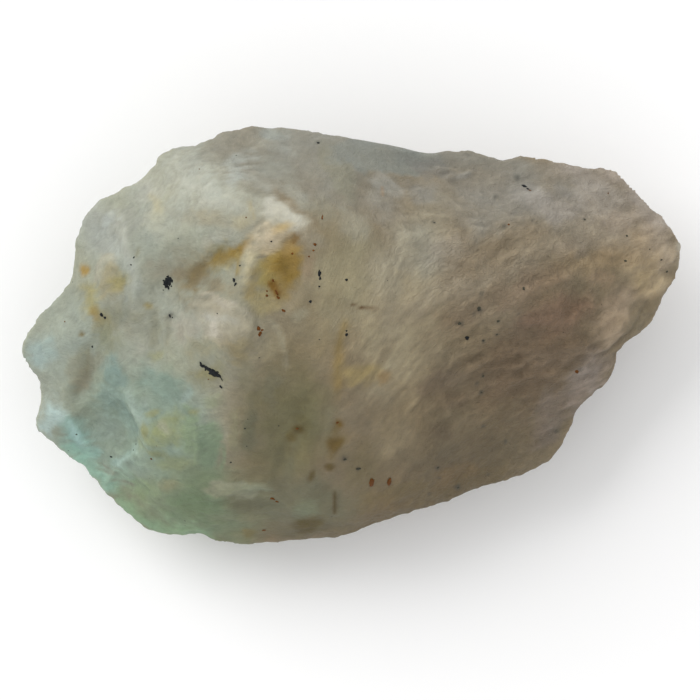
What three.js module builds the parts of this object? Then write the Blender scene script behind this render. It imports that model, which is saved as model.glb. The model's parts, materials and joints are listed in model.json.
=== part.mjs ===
// A lump of rough opal, broken on every side and lying on its flattest fracture.
// Millimetres, +Z up. X runs along the lump. The origin is on the resting face, under the
// middle of the outline.
import * as THREE from "three";
import { mergeVertices } from "three/addons/utils/BufferGeometryUtils.js";
import { ImprovedNoise } from "three/addons/math/ImprovedNoise.js";

// Driving dimensions.
const LENGTH = 45; // along X, from the left nose to the thin right end
const WIDTH = 28.5; // along Y
const HEIGHT = 20; // from the resting face to the crown
const FACET_DIVISIONS = 19; // 20 * (n + 1)^2 facets in all
const RIDGE_SOFTNESS = 0.3; // how far two fractures blend where they meet
const RIM_SQUARENESS = 8; // the higher, the tighter the stone turns over at its rim
const LEAST_UPPER_WALL = 0.5; // the upper side never dips below the rim
const LEAST_LOWER_WALL = 0.9; // nor does the underside rise above it
const REST_DEPTH = 0.8; // how deep the resting fracture cuts into the rounded underside
const GRAIN = [ // the unevenness of the broken surface, from coarse to fine
  { size: 5.5, depth: 0.5 },
  { size: 2.3, depth: 0.22 },
];

// The rim: the widest edge of the lump as seen from above, counter-clockwise from the thin
// right end. Each point is [x, y, z].
const RIM = [
  [22.5, 5.2, 7.2], [22.2, 6.3, 7.4], [21.6, 7.3, 7.7], [20.3, 8.7, 8.1], [18.8, 10.1, 8.5],
  [18.0, 11.1, 8.7], [16.8, 11.1, 9.0], [14.2, 11.5, 9.5], [11.4, 12.1, 10.0],
  [10.0, 11.7, 10.3], [8.3, 12.4, 10.6], [6.6, 12.4, 10.8], [5.2, 12.2, 10.9],
  [3.3, 12.6, 11.3], [-0.8, 13.2, 11.9], [-3.4, 13.7, 12.2], [-6.8, 14.1, 12.3],
  [-7.8, 13.8, 12.2], [-9.8, 12.9, 11.9], [-12.2, 12.4, 11.4], [-13.5, 10.9, 11.0],
  [-14.3, 10.2, 10.6], [-16.7, 9.3, 9.7], [-18.2, 8.0, 9.2], [-18.6, 6.6, 8.9],
  [-19.1, 4.1, 8.5], [-20.1, 2.5, 8.2], [-21.2, 1.4, 8.0], [-22.5, -0.7, 7.6],
  [-22.3, -1.8, 7.5], [-21.3, -2.8, 7.3], [-21.1, -4.5, 7.0], [-21.6, -6.0, 6.8],
  [-21.3, -6.9, 6.6], [-19.2, -8.4, 6.2], [-17.2, -10.3, 5.9], [-15.8, -11.7, 5.7],
  [-13.6, -13.6, 5.6], [-10.2, -13.7, 5.6], [-9.3, -14.0, 5.7], [-7.7, -14.4, 5.8],
  [-3.5, -14.0, 5.9], [-0.1, -13.6, 6.0], [2.0, -12.8, 6.0], [6.8, -11.3, 6.0],
  [12.8, -9.1, 6.1], [14.0, -8.1, 6.2], [15.0, -6.2, 6.3], [15.5, -5.2, 6.4],
  [16.8, -3.7, 6.5], [17.7, -2.4, 6.6], [18.2, -0.9, 6.7], [20.1, 0.6, 6.8], [21.1, 2.3, 7.0],
];

// The fractures of the upper side. Each passes through `at`, and falls towards the compass
// direction `towards` (degrees, 0 along +X, 90 along +Y) at `slope` degrees. A positive `bow`
// hollows it, like a shell, and a negative one swells it.
const UPPER_FRACTURES = [
  { name: "crown", at: [-4, 5, 18.9], towards: -50, slope: 6, bow: -0.012 },
  { name: "right shoulder", at: [3, 4, 17.7], towards: 2, slope: 21, bow: -0.006 },
  { name: "right end", at: [14, 4, 12.9], towards: -2, slope: 32, bow: 0.012 },
  { name: "right face below the diagonal", at: [8, 0, 14.6], towards: -52, slope: 35, bow: -0.004 },
  { name: "lower right face", at: [8, -7, 11.0], towards: -62, slope: 45, bow: 0.015 },
  { name: "lower face", at: [-3, -6, 14.9], towards: -88, slope: 38, bow: -0.01 },
  { name: "lower rim face", at: [-5, -11.5, 10.6], towards: -95, slope: 56, bow: 0.03 },
  { name: "lower left face", at: [-12, -7, 12.6], towards: -142, slope: 38, bow: 0.012 },
  { name: "lower left rim face", at: [-15.5, -8.5, 9.4], towards: -128, slope: 50, bow: 0.02 },
  { name: "left face", at: [-13, 0.5, 14.6], towards: 180, slope: 34, bow: 0.015 },
  { name: "left end", at: [-18, 0, 10.8], towards: 172, slope: 40, bow: 0.03 },
  { name: "upper left face", at: [-12.5, 8, 14.8], towards: 146, slope: 42, bow: 0.02 },
  { name: "upper face", at: [-4, 10, 16.9], towards: 92, slope: 43, bow: 0.01 },
  { name: "upper right face", at: [5.5, 10.2, 14.0], towards: 62, slope: 40, bow: 0.02 },
  { name: "right end, upper", at: [16, 9, 10.9], towards: 48, slope: 38, bow: 0.01 },
];

// The fractures of the underside. They fall towards the resting face, the shallow ones round
// it and the steep ones below the rim.
const UNDER_FRACTURES = [
  { name: "under the right end", at: [7.5, 1, 0], towards: 176, slope: 15, bow: 0.01 },
  { name: "wedge of the right end", at: [16.5, 3, 2.4], towards: -172, slope: 35, bow: 0 },
  { name: "under the left nose", at: [-11.5, -1, 0], towards: -8, slope: 22, bow: 0.01 },
  { name: "left wall", at: [-19.6, -1, 4.2], towards: 4, slope: 62, bow: 0.02 },
  { name: "under the upper edge", at: [-2, 9.2, 0], towards: -84, slope: 30, bow: 0.01 },
  { name: "upper wall", at: [-4, 12.4, 3.8], towards: -94, slope: 76, bow: 0.03 },
  { name: "upper right wall", at: [9, 9.6, 2.6], towards: -112, slope: 66, bow: 0.02 },
  { name: "upper left wall", at: [-14.4, 8.8, 4.4], towards: -42, slope: 64, bow: 0.02 },
  { name: "under the lower edge", at: [-4, -9.4, 0], towards: 94, slope: 26, bow: 0.015 },
  { name: "lower wall", at: [-6, -13, 3.0], towards: 86, slope: 66, bow: 0.02 },
  { name: "lower right wall", at: [9, -8.4, 1.8], towards: 122, slope: 50, bow: 0.02 },
  { name: "lower left wall", at: [-15, -9.8, 2.2], towards: 48, slope: 52, bow: 0.02 },
];

// Rounded swellings and shell-shaped hollows on the upper side. `half` is the half length and
// half width, `turn` the direction of the length in degrees, and `rise` is negative in a hollow.
const UPPER_SWELLS = [
  { name: "white ridge", at: [-8, 9.9], half: [5.6, 1.7], turn: -30, rise: 0.8 },
  { name: "end of the white ridge", at: [-4.3, 7.7], half: [1.6, 1.1], turn: -30, rise: 0.4 },
  { name: "brown hollow", at: [-9.3, 5.2], half: [3.0, 1.4], turn: 36, rise: -1.5 },
  { name: "ochre hollow", at: [-4.9, 4.2], half: [2.5, 1.5], turn: 98, rise: -1.3 },
  { name: "wall between the hollows", at: [-6.7, 5.4], half: [2.4, 0.8], turn: 52, rise: 0.6 },
  { name: "right wall of the ochre hollow", at: [-3.1, 3.4], half: [2.8, 0.9], turn: 95, rise: 0.4 },
  { name: "white lobe", at: [-8.9, 0.6], half: [2.5, 2.0], turn: -38, rise: 1.0 },
  { name: "left lobe", at: [-16, 5.2], half: [2.2, 1.2], turn: 62, rise: 0.9 },
  { name: "lobe above the furrow", at: [-14.2, 3.2], half: [2.4, 1.1], turn: 62, rise: 0.7 },
  { name: "left furrow", at: [-12.9, 1.0], half: [3.6, 0.9], turn: 80, rise: -0.8 },
  { name: "left crease", at: [-17.8, -2.4], half: [3.4, 0.8], turn: 70, rise: -0.9 },
  { name: "left scoop", at: [-16.3, -5.9], half: [2.6, 1.9], turn: 100, rise: -1.3 },
  { name: "left nose", at: [-20.4, -0.6], half: [2.0, 1.2], turn: 50, rise: 0.8 },
  { name: "lower nose", at: [-20.4, -5.9], half: [1.8, 0.9], turn: 75, rise: 0.6 },
  { name: "middle crest", at: [-7.2, -6.6], half: [6.0, 1.2], turn: 88, rise: 0.5 },
  { name: "middle trough", at: [-4.7, -6.2], half: [6.2, 1.4], turn: 84, rise: -0.55 },
  { name: "middle swell", at: [0.2, -3.4], half: [6.5, 2.2], turn: 64, rise: 0.7 },
  { name: "lower left swell", at: [-11.6, -8.2], half: [3.2, 2.0], turn: 62, rise: 0.8 },
  { name: "upper dip", at: [4.6, 9.6], half: [3.8, 1.4], turn: -14, rise: -0.5 },
];

const UNDER_SWELLS = [
  { name: "shell under the upper edge", at: [-7, 10.2], half: [4.2, 2.2], turn: -8, rise: 1.0 },
  { name: "shell under the right end", at: [13.5, 1.5], half: [4.0, 3.0], turn: 12, rise: 0.9 },
  { name: "shell under the nose", at: [-15.8, -2.5], half: [2.8, 3.2], turn: 80, rise: 0.8 },
  { name: "knob under the lower edge", at: [2.0, -9.8], half: [3.0, 1.5], turn: 6, rise: -0.7 },
];

const noise = new ImprovedNoise();
const slopeOf = (degrees) => Math.tan(THREE.MathUtils.degToRad(degrees));

// The height of a sloping fracture over the point (x, y).
function fractureHeight({ at, towards, slope, bow }, x, y) {
  const heading = THREE.MathUtils.degToRad(towards);
  const dx = x - at[0];
  const dy = y - at[1];
  const along = dx * Math.cos(heading) + dy * Math.sin(heading);
  return at[2] - along * slopeOf(slope) + (bow * (dx * dx + dy * dy)) / 2;
}

// The lowest of several heights, blended over `softness` where two of them meet.
function softLowest(heights, softness) {
  const lowest = Math.min(...heights);
  const sum = heights.reduce((total, h) => total + Math.exp((lowest - h) / softness), 0);
  return lowest - softness * Math.log(sum);
}

// How much a swelling or a hollow adds over the point (x, y).
function swellHeight({ at, half, turn, rise }, x, y) {
  const heading = THREE.MathUtils.degToRad(turn);
  const dx = x - at[0];
  const dy = y - at[1];
  const along = (dx * Math.cos(heading) + dy * Math.sin(heading)) / half[0];
  const across = (dy * Math.cos(heading) - dx * Math.sin(heading)) / half[1];
  return rise * Math.exp(-(along * along + across * across));
}

const totalSwell = (swells, x, y) => swells.reduce((sum, s) => sum + swellHeight(s, x, y), 0);

function upperHeight(x, y) {
  const heights = UPPER_FRACTURES.map((f) => fractureHeight(f, x, y));
  return softLowest(heights, RIDGE_SOFTNESS) + totalSwell(UPPER_SWELLS, x, y);
}

function underHeight(x, y) {
  const depths = UNDER_FRACTURES.map((f) => -fractureHeight(f, x, y));
  return -softLowest(depths, RIDGE_SOFTNESS) + totalSwell(UNDER_SWELLS, x, y) - REST_DEPTH;
}

// The rim as a table of [radius, height] for equal steps of angle round the Z axis.
function rimTable(steps) {
  const curve = new THREE.CatmullRomCurve3(
    RIM.map(([x, y, z]) => new THREE.Vector3(x, y, z)), true, "centripetal");
  const points = curve.getPoints(steps * 4);
  const angles = points.map((p) => Math.atan2(p.y, p.x));
  return Array.from({ length: steps }, (_, i) => {
    const angle = (i / steps) * 2 * Math.PI - Math.PI;
    const gaps = angles.map((a) => Math.abs(Math.atan2(Math.sin(a - angle), Math.cos(a - angle))));
    const nearest = points[gaps.indexOf(Math.min(...gaps))];
    return [Math.hypot(nearest.x, nearest.y), nearest.z];
  });
}

const RIM_STEPS = 720;
const rim = rimTable(RIM_STEPS);

// The rim's radius and height in the direction of (x, y).
function rimAt(x, y) {
  const turn = (Math.atan2(y, x) + Math.PI) / (2 * Math.PI);
  const place = turn * RIM_STEPS;
  const before = rim[Math.floor(place) % RIM_STEPS];
  const after = rim[(Math.floor(place) + 1) % RIM_STEPS];
  const share = place - Math.floor(place);
  return [0, 1].map((i) => before[i] + (after[i] - before[i]) * share);
}

// The unevenness of the broken surface at a point.
function grain(x, y, z) {
  const layers = GRAIN.map(({ size, depth }) => depth * noise.noise(x / size, y / size, z / size));
  return layers.reduce((sum, layer) => sum + layer, 0);
}

// Carries a point of the unit sphere onto the stone.
function ontoStone(point) {
  const [radius, rimHeight] = rimAt(point.x, point.y);
  const reach = Math.min(1, Math.hypot(point.x, point.y));
  const x = point.x * radius;
  const y = point.y * radius;
  const fullness = Math.sqrt(Math.max(0, 1 - reach ** RIM_SQUARENESS));
  const face = point.z > 0
    ? Math.max(upperHeight(x, y), rimHeight + LEAST_UPPER_WALL)
    : Math.min(underHeight(x, y), rimHeight - LEAST_LOWER_WALL);
  const z = rimHeight + (face - rimHeight) * fullness;
  return new THREE.Vector3(x, y, Math.max(0, z + grain(x, y, z)));
}

// Brings a geometry to the stone's exact size, standing on the origin.
function fitToSize(geometry) {
  geometry.computeBoundingBox();
  const box = geometry.boundingBox;
  const middle = box.getCenter(new THREE.Vector3());
  const fit = new THREE.Vector3(LENGTH, WIDTH, HEIGHT).divide(box.getSize(new THREE.Vector3()));
  geometry.translate(-middle.x, -middle.y, -box.min.z);
  geometry.scale(fit.x, fit.y, fit.z);
}

function opalGeometry() {
  const ball = new THREE.IcosahedronGeometry(1, FACET_DIVISIONS);
  ball.deleteAttribute("normal");
  ball.deleteAttribute("uv");
  const geometry = mergeVertices(ball, 1e-4);
  const position = geometry.getAttribute("position");
  const point = new THREE.Vector3();
  for (let i = 0; i < position.count; i++) {
    const { x, y, z } = ontoStone(point.fromBufferAttribute(position, i));
    position.setXYZ(i, x, y, z);
  }
  fitToSize(geometry);
  geometry.computeVertexNormals();
  return geometry;
}

const milkyOpal = new THREE.MeshStandardMaterial({
  color: 0xa9a491,
  roughness: 0.5,
  metalness: 0,
});

const stone = new THREE.Group();
const opal = new THREE.Mesh(opalGeometry(), milkyOpal);
opal.name = "opal";
stone.add(opal);

export default stone;
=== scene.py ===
"""A lump of rough opal: its broken surface, its milky finish, its stains and its mineral grains.

Sizes are in millimetres until a mesh is done, and then in metres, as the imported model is.
"""

import itertools
import json
import logging
import math
from dataclasses import dataclass, field
from enum import Enum
from typing import Sequence

import bmesh
import bpy
import numpy as np
from mathutils import Matrix, Vector

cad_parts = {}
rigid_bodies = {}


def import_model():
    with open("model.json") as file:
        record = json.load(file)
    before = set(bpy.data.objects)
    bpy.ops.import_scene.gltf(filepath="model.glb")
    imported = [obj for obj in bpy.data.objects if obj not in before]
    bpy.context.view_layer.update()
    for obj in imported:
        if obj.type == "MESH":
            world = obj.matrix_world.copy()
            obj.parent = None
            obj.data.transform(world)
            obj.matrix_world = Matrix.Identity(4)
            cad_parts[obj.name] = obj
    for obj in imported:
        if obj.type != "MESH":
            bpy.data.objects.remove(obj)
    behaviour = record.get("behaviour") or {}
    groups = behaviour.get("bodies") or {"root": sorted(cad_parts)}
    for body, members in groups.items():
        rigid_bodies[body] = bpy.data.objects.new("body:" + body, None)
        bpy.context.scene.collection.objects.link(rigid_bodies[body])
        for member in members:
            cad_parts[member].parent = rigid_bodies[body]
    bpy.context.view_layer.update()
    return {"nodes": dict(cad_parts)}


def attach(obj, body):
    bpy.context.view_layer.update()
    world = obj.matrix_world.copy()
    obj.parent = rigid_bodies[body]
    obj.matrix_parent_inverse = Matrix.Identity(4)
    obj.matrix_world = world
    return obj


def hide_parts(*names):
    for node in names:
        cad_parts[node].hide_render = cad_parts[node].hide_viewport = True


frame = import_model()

LOG = logging.getLogger("opal")
MM = 0.001
Plan = tuple[float, float]
Swatch = tuple[int, int, int]
Colour = tuple[float, float, float]


def smoothstep(low: float, high: float, value: np.ndarray) -> np.ndarray:
    """Rises smoothly from 0 at low to 1 at high.

    Args:
        low: Where the rise starts.
        high: Where it ends.
        value: The values to judge.

    Returns:
        A share from 0 to 1 for each value.
    """
    share = np.clip((value - low) / (high - low), 0, 1)
    return share * share * (3 - 2 * share)


class SmoothNoise:
    """Seeded gradient noise, worked out for many points at once."""

    SLOPES = 256
    LAYER_SHIFT = np.array([17.3, 5.1, 9.7])

    def __init__(self, seed: int) -> None:
        """Draws the slopes of the noise.

        Args:
            seed: Gives the same noise each time.
        """
        draw = np.random.default_rng(seed)
        slopes = draw.normal(size=(self.SLOPES, 3))
        self._slopes = slopes / np.linalg.norm(slopes, axis=1, keepdims=True)
        self._order = draw.permutation(self.SLOPES)

    def _slope(self, cell: np.ndarray) -> np.ndarray:
        """Finds the slopes at corners of the noise's cells.

        Args:
            cell: The corners, one to a row.

        Returns:
            The slope that belongs to each corner.
        """
        place = np.zeros(len(cell), int)
        for axis in range(3):
            place = self._order[(place + cell[:, axis]) % self.SLOPES]
        return self._slopes[place]

    def __call__(self, points: np.ndarray, size: float | np.ndarray = 1.0,
                 shift: float = 0.0) -> np.ndarray:
        """Evaluates the noise.

        Args:
            points: An array of points, one to a row.
            size: How wide its features are, or how wide along each axis.
            shift: Moves it, so that the same noise serves again as if it were another.

        Returns:
            A value from about -0.7 to 0.7 for each point.
        """
        place = points / size + shift
        cell = np.floor(place).astype(int)
        local = place - cell
        fade = local**3 * (local * (local * 6 - 15) + 10)
        total = np.zeros(len(points))
        for corner in itertools.product((0, 1), repeat=3):
            offset = np.array(corner)
            weight = np.prod(np.where(offset, fade, 1 - fade), axis=1)
            total += weight * np.einsum("ij,ij->i", local - offset, self._slope(cell + offset))
        return total

    def layered(self, points: np.ndarray, layers: int, gain: float = 0.5,
                size: float | np.ndarray = 1.0, shift: float = 0.0) -> np.ndarray:
        """Adds ever finer layers of noise.

        Args:
            points: An array of points, one to a row.
            layers: How many layers, each twice as fine as the one before.
            gain: How strong each layer is beside the one before.
            size: How wide the features of the first layer are.
            shift: Moves them all.

        Returns:
            The sum for each point.
        """
        place = points / size + shift
        return sum(gain**i * self(place * 2**i + i * self.LAYER_SHIFT) for i in range(layers))


@dataclass(frozen=True)
class Line:
    """A smooth line through points in plan.

    Attributes:
        knots: The points that it passes through.
    """

    knots: tuple[Plan, ...]

    STEPS = 5

    def _curve(self) -> np.ndarray:
        """Works the line out as short straight runs.

        Returns:
            The points that the runs join, one to a row.
        """
        knots = np.array(self.knots)
        ends = np.vstack([2 * knots[0] - knots[1], knots, 2 * knots[-1] - knots[-2]])
        share = np.arange(self.STEPS)[:, None] / self.STEPS
        spans = [
            0.5
            * (
                2 * b
                + (c - a) * share
                + (2 * a - 5 * b + 4 * c - d) * share**2
                + (3 * b - a - 3 * c + d) * share**3
            )
            for a, b, c, d in zip(ends, ends[1:], ends[2:], ends[3:])
        ]
        return np.vstack([*spans, knots[-1:]])

    def near(self, plan: np.ndarray, margin: float) -> np.ndarray:
        """Tells which points lie in the line's box, widened by a margin."""
        low, high = np.min(self.knots, axis=0) - margin, np.max(self.knots, axis=0) + margin
        return np.all((plan > low) & (plan < high), axis=1)

    def measure(self, plan: np.ndarray) -> tuple[np.ndarray, np.ndarray]:
        """Measures points against the line.

        Args:
            plan: Points in plan, one to a row.

        Returns:
            Each point's signed distance, positive on the left, and its share along the line.
        """
        curve = self._curve()
        nearest = np.full(len(plan), np.inf)
        signed = np.zeros(len(plan))
        share = np.zeros(len(plan))
        for i, (start, end) in enumerate(zip(curve, curve[1:])):
            run = end - start
            offset = plan - start
            place = np.clip(offset @ run / max(run @ run, 1e-9), 0, 1)
            distance = np.linalg.norm(offset - place[:, None] * run, axis=1)
            closer = distance < nearest
            side = np.sign(run[0] * offset[:, 1] - run[1] * offset[:, 0])
            nearest = np.where(closer, distance, nearest)
            signed = np.where(closer, distance * side, signed)
            share = np.where(closer, (i + place) / (len(curve) - 1), share)
        return signed, share


def taper(share: np.ndarray, ends: float) -> np.ndarray:
    """Returns 1 along a line, fading almost to 0 over a share of its length at both ends."""
    spare = 0.02
    return smoothstep(-spare, ends, share) * smoothstep(1 + spare, 1 - ends, share)


class Profile(Enum):
    """The cross-section of a mark drawn along a line."""

    RIDGE = "ridge"
    LEDGE = "ledge"


@dataclass(frozen=True)
class Mark:
    """A ridge, a groove or a ledge along a line over the upper side.

    Attributes:
        name: What the mark is.
        path: Its points in plan. The left of a ledge's path is its high side.
        rise: How far it stands out, or in where negative.
        width: Half the width of a ridge, or the width of a ledge's edge.
        reach: How far a ledge's high side carries on.
        profile: Its cross-section.
    """

    name: str
    path: tuple[Plan, ...]
    rise: float
    width: float
    reach: float = 2.0
    profile: Profile = Profile.RIDGE

    ENDS = 0.22
    SPENT = 3

    def height(self, plan: np.ndarray) -> np.ndarray:
        """Returns how far the mark moves the surface.

        Args:
            plan: Points in plan, one to a row.

        Returns:
            The rise at each point.
        """
        line = Line(self.path)
        is_ledge = self.profile is Profile.LEDGE
        near = line.near(plan, self.SPENT * (self.reach if is_ledge else self.width))
        signed, share = line.measure(plan[near])
        if is_ledge:
            shape = 0.5 * (1 + np.tanh(signed / self.width)) * np.exp(-((signed / self.reach) ** 2))
        else:
            shape = np.exp(-((signed / self.width) ** 2))
        rise = np.zeros(len(plan))
        rise[near] = self.rise * taper(share, self.ENDS) * shape
        return rise


@dataclass(frozen=True)
class Swell:
    """A soft swelling, or a hollow where `rise` is negative, on the upper side.

    Attributes:
        name: What it is.
        at: Its middle in plan.
        half: Its half length and half width.
        turn: The direction of its length, in degrees.
        rise: How far it stands out.
    """

    name: str
    at: Plan
    half: Plan
    turn: float
    rise: float

    def height(self, plan: np.ndarray) -> np.ndarray:
        """Returns the rise at each point in plan."""
        return self.rise * np.exp(-(reach_of(plan, self.at, self.half, self.turn) ** 2))


def reach_of(plan: np.ndarray, at: Plan, half: Plan, turn: float) -> np.ndarray:
    """Measures how far points lie from the middle of an ellipse, in its own half sizes.

    Args:
        plan: Points in plan, one to a row.
        at: The ellipse's middle.
        half: Its half length and half width.
        turn: The direction of its length, in degrees.

    Returns:
        0 at the middle, 1 on the ellipse and more outside it.
    """
    heading = math.radians(turn)
    offset = plan - np.array(at)
    along = offset @ np.array([math.cos(heading), math.sin(heading)]) / half[0]
    aside = offset @ np.array([-math.sin(heading), math.cos(heading)]) / half[1]
    return np.hypot(along, aside)


class Clay:
    """The stone's surface while it is being shaped, in millimetres."""

    FACING_UP = (0.02, 0.3)
    UPRIGHT = 0.5
    FOOT = (0.05, 0.6)
    EVENING = 0.8

    def __init__(self, mesh: bpy.types.Mesh) -> None:
        """Takes the points and the faces of a mesh.

        Args:
            mesh: A closed mesh of four-sided faces, in millimetres.
        """
        self.points = np.empty(len(mesh.vertices) * 3)
        mesh.vertices.foreach_get("co", self.points)
        self.points = self.points.reshape(-1, 3)
        corners = np.empty(len(mesh.loops), int)
        mesh.loops.foreach_get("vertex_index", corners)
        self._faces = corners.reshape(-1, 4)
        self._place = np.concatenate([corners, corners])
        self._beside = np.concatenate([np.roll(self._faces, way, axis=1).ravel() for way in (1, -1)])
        self._count = np.bincount(self._place)[:, None]

    @property
    def plan(self) -> np.ndarray:
        """Every point seen from above."""
        return self.points[:, :2]

    def _gather(self, place: np.ndarray, rows: np.ndarray) -> np.ndarray:
        """Adds rows up by the point that each belongs to."""
        size = len(self.points)
        return np.column_stack([np.bincount(place, rows[:, axis], size) for axis in range(3)])

    def normals(self) -> np.ndarray:
        """Works out the direction that the surface faces at each point.

        Returns:
            Directions of length 1, one to a row.
        """
        a, b, c, d = (self.points[self._faces[:, i]] for i in range(4))
        facing = np.repeat(np.cross(c - a, d - b), 4, axis=0)
        total = self._gather(self._faces.ravel(), facing)
        return total / np.maximum(np.linalg.norm(total, axis=1, keepdims=True), 1e-12)

    def upper(self) -> np.ndarray:
        """Returns 1 where the surface faces up and 0 where it faces down, smoothly."""
        return smoothstep(*self.FACING_UP, self.normals()[:, 2])

    def rim(self) -> np.ndarray:
        """Returns 1 where the surface is upright and 0 where it faces up or down, smoothly."""
        return np.exp(-((self.normals()[:, 2] / self.UPRIGHT) ** 2))

    def push(self, amount: np.ndarray) -> None:
        """Moves each point along its own direction, but leaves the resting face.

        Args:
            amount: How far each point moves.
        """
        free = smoothstep(*self.FOOT, self.points[:, 2])
        self.points += self.normals() * (amount * free)[:, None]
        self.points[:, 2] = np.maximum(self.points[:, 2], 0)

    def relax(self, share: np.ndarray | float, rounds: int) -> None:
        """Evens the surface out.

        Args:
            share: How far each point moves towards the middle of its neighbours.
            rounds: How many times.
        """
        step = np.broadcast_to(share, len(self.points))[:, None]
        for _ in range(rounds):
            middle = self._gather(self._place, self.points[self._beside]) / self._count
            self.points += (middle - self.points) * step

    def spread(self, values: np.ndarray, rounds: int) -> np.ndarray:
        """Spreads values over the surface.

        Args:
            values: One value for each point.
            rounds: How many times each point takes the mean of its neighbours.

        Returns:
            The spread values.
        """
        for _ in range(rounds):
            values = np.bincount(self._place, values[self._beside], len(values)) / self._count[:, 0]
        return values

    def standing(self, rounds: int) -> np.ndarray:
        """Works out how far each point stands out from the evened surface.

        Args:
            rounds: How many times the surface is evened out for the comparison.

        Returns:
            The height over the evened surface, negative in hollows.
        """
        kept, facing = self.points.copy(), self.normals()
        self.relax(self.EVENING, rounds)
        height = np.einsum("ij,ij->i", kept - self.points, facing)
        self.points = kept
        return height


LEDGE = Profile.LEDGE

SMOOTH_FACET = {"at": (2.4, 12.2), "half": (4.4, 1.6), "turn": -9}

SWELLS = (
    Swell("pocket under the trough", (-9.1, 3.7), (1.1, 0.7), 0, -0.12),
    Swell("snow bank", (-9.6, 9.6), (3.6, 1.6), -25, 0.15),
    Swell("end of the snow bank", (-4.6, 7.9), (1.6, 1.2), -38, -0.25),
    Swell("cream fold", (-13.0, 8.4), (1.6, 0.8), 70, 0.15),
    Swell("knob", (-16.1, 3.4), (1.3, 1.0), 80, 0.2),
    Swell("left cheek", (-17.6, 1.4), (1.3, 0.9), 70, 0.2),
    Swell("second lobe", (-14.1, -0.5), (0.9, 1.2), 0, 0.15),
    Swell("green cushion", (-12.6, -3.4), (2.2, 1.3), -20, 0.2),
    Swell("yellow cushion", (-12.9, -6.6), (1.5, 1.2), 60, 0.25),
    Swell("lower cushion", (-12.6, -10.2), (1.8, 1.2), 30, 0.25),
    Swell("bottom cushion", (-9.0, -12.2), (2.0, 0.8), 4, 0.2),
    Swell("fibrous swell", (1.9, 3.6), (4.0, 1.3), 78, 0.25),
    Swell("shallow flute", (-1.2, -6.8), (4.6, 0.8), 76, -0.16),
    Swell("second flute", (-3.2, -7.8), (4.2, 0.7), 82, 0.16),
    Swell("lower fold", (5.8, -5.0), (2.6, 1.2), 70, -0.25),
    Swell("end hollow", (16.6, 2.4), (3.4, 1.4), 20, -0.25),
    Swell("upper right hollow", (11.5, 8.6), (2.6, 1.0), 0, -0.15),
)

RIM_SWELLS = (
    Swell("tip of the thin end", (22.2, 6.7), (1.6, 1.6), 0, 0.12),
    Swell("upper corner of the thin end", (17.7, 11.2), (1.6, 1.6), 0, 0.15),
    Swell("upper edge on the right", (13.5, 12.0), (2.6, 1.6), 0, 0.18),
    Swell("upper edge beside it", (9.0, 12.5), (2.4, 1.6), 0, 0.02),
    Swell("upper edge in the middle", (-0.5, 13.6), (3.4, 1.6), 0, 0.13),
    Swell("upper left corner", (-8.9, 13.9), (1.2, 1.2), 0, 0.18),
    Swell("upper edge beside the corner", (-6.0, 14.3), (1.6, 1.2), 0, -0.13),
    Swell("step on the upper left", (-12.9, 12.4), (1.0, 1.0), 0, 0.18),
    Swell("second step", (-15.1, 10.4), (1.4, 1.4), 0, 0.16),
    Swell("hollow above the nose", (-19.4, 3.6), (1.8, 2.2), 0, -0.28),
    Swell("nose", (-22.4, -1.0), (0.8, 0.9), 0, 0.3),
    Swell("cheek above the nose", (-21.6, 0.8), (1.0, 1.0), 0, -0.12),
    Swell("corner below the nose", (-21.2, -5.5), (1.0, 1.0), 0, 0.08),
    Swell("lower left edge", (-17.8, -9.2), (1.8, 1.8), 0, -0.12),
    Swell("corner at the lower left", (-16.2, -10.6), (1.0, 1.0), 0, 0.16),
    Swell("corner at the bottom", (-8.6, -13.4), (1.2, 1.0), 0, 0.14),
    Swell("lower right edge", (9.0, -10.4), (2.4, 1.8), 0, -0.15),
    Swell("bottom edge", (-2.2, -13.6), (1.6, 1.2), 0, 0.12),
    Swell("hollow of the bottom edge", (1.5, -12.8), (1.2, 1.2), 0, -0.13),
    Swell("edge beside the thin end", (19.9, 0.6), (1.2, 1.2), 0, 0.12),
    Swell("right edge", (15.2, -5.4), (1.8, 1.8), 0, -0.16),
    Swell("corner of the right edge", (17.6, -2.6), (1.2, 1.2), 0, 0.2),
)

SOFTENED = (
    Swell("middle trough", (-4.4, -5.4), (5.5, 2.2), 84, 1.0),
    Swell("crest beside it", (-6.9, -6.6), (5.0, 1.4), 90, 1.0),
    Swell("end of the white ridge", (-3.4, 7.4), (1.6, 1.4), 0, 0.6),
    Swell("brown trough", (-9.0, 5.6), (3.4, 1.6), 33, 1.0),
    Swell("ochre bowl", (-5.0, 4.8), (2.2, 2.4), 0, 1.0),
)

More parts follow.
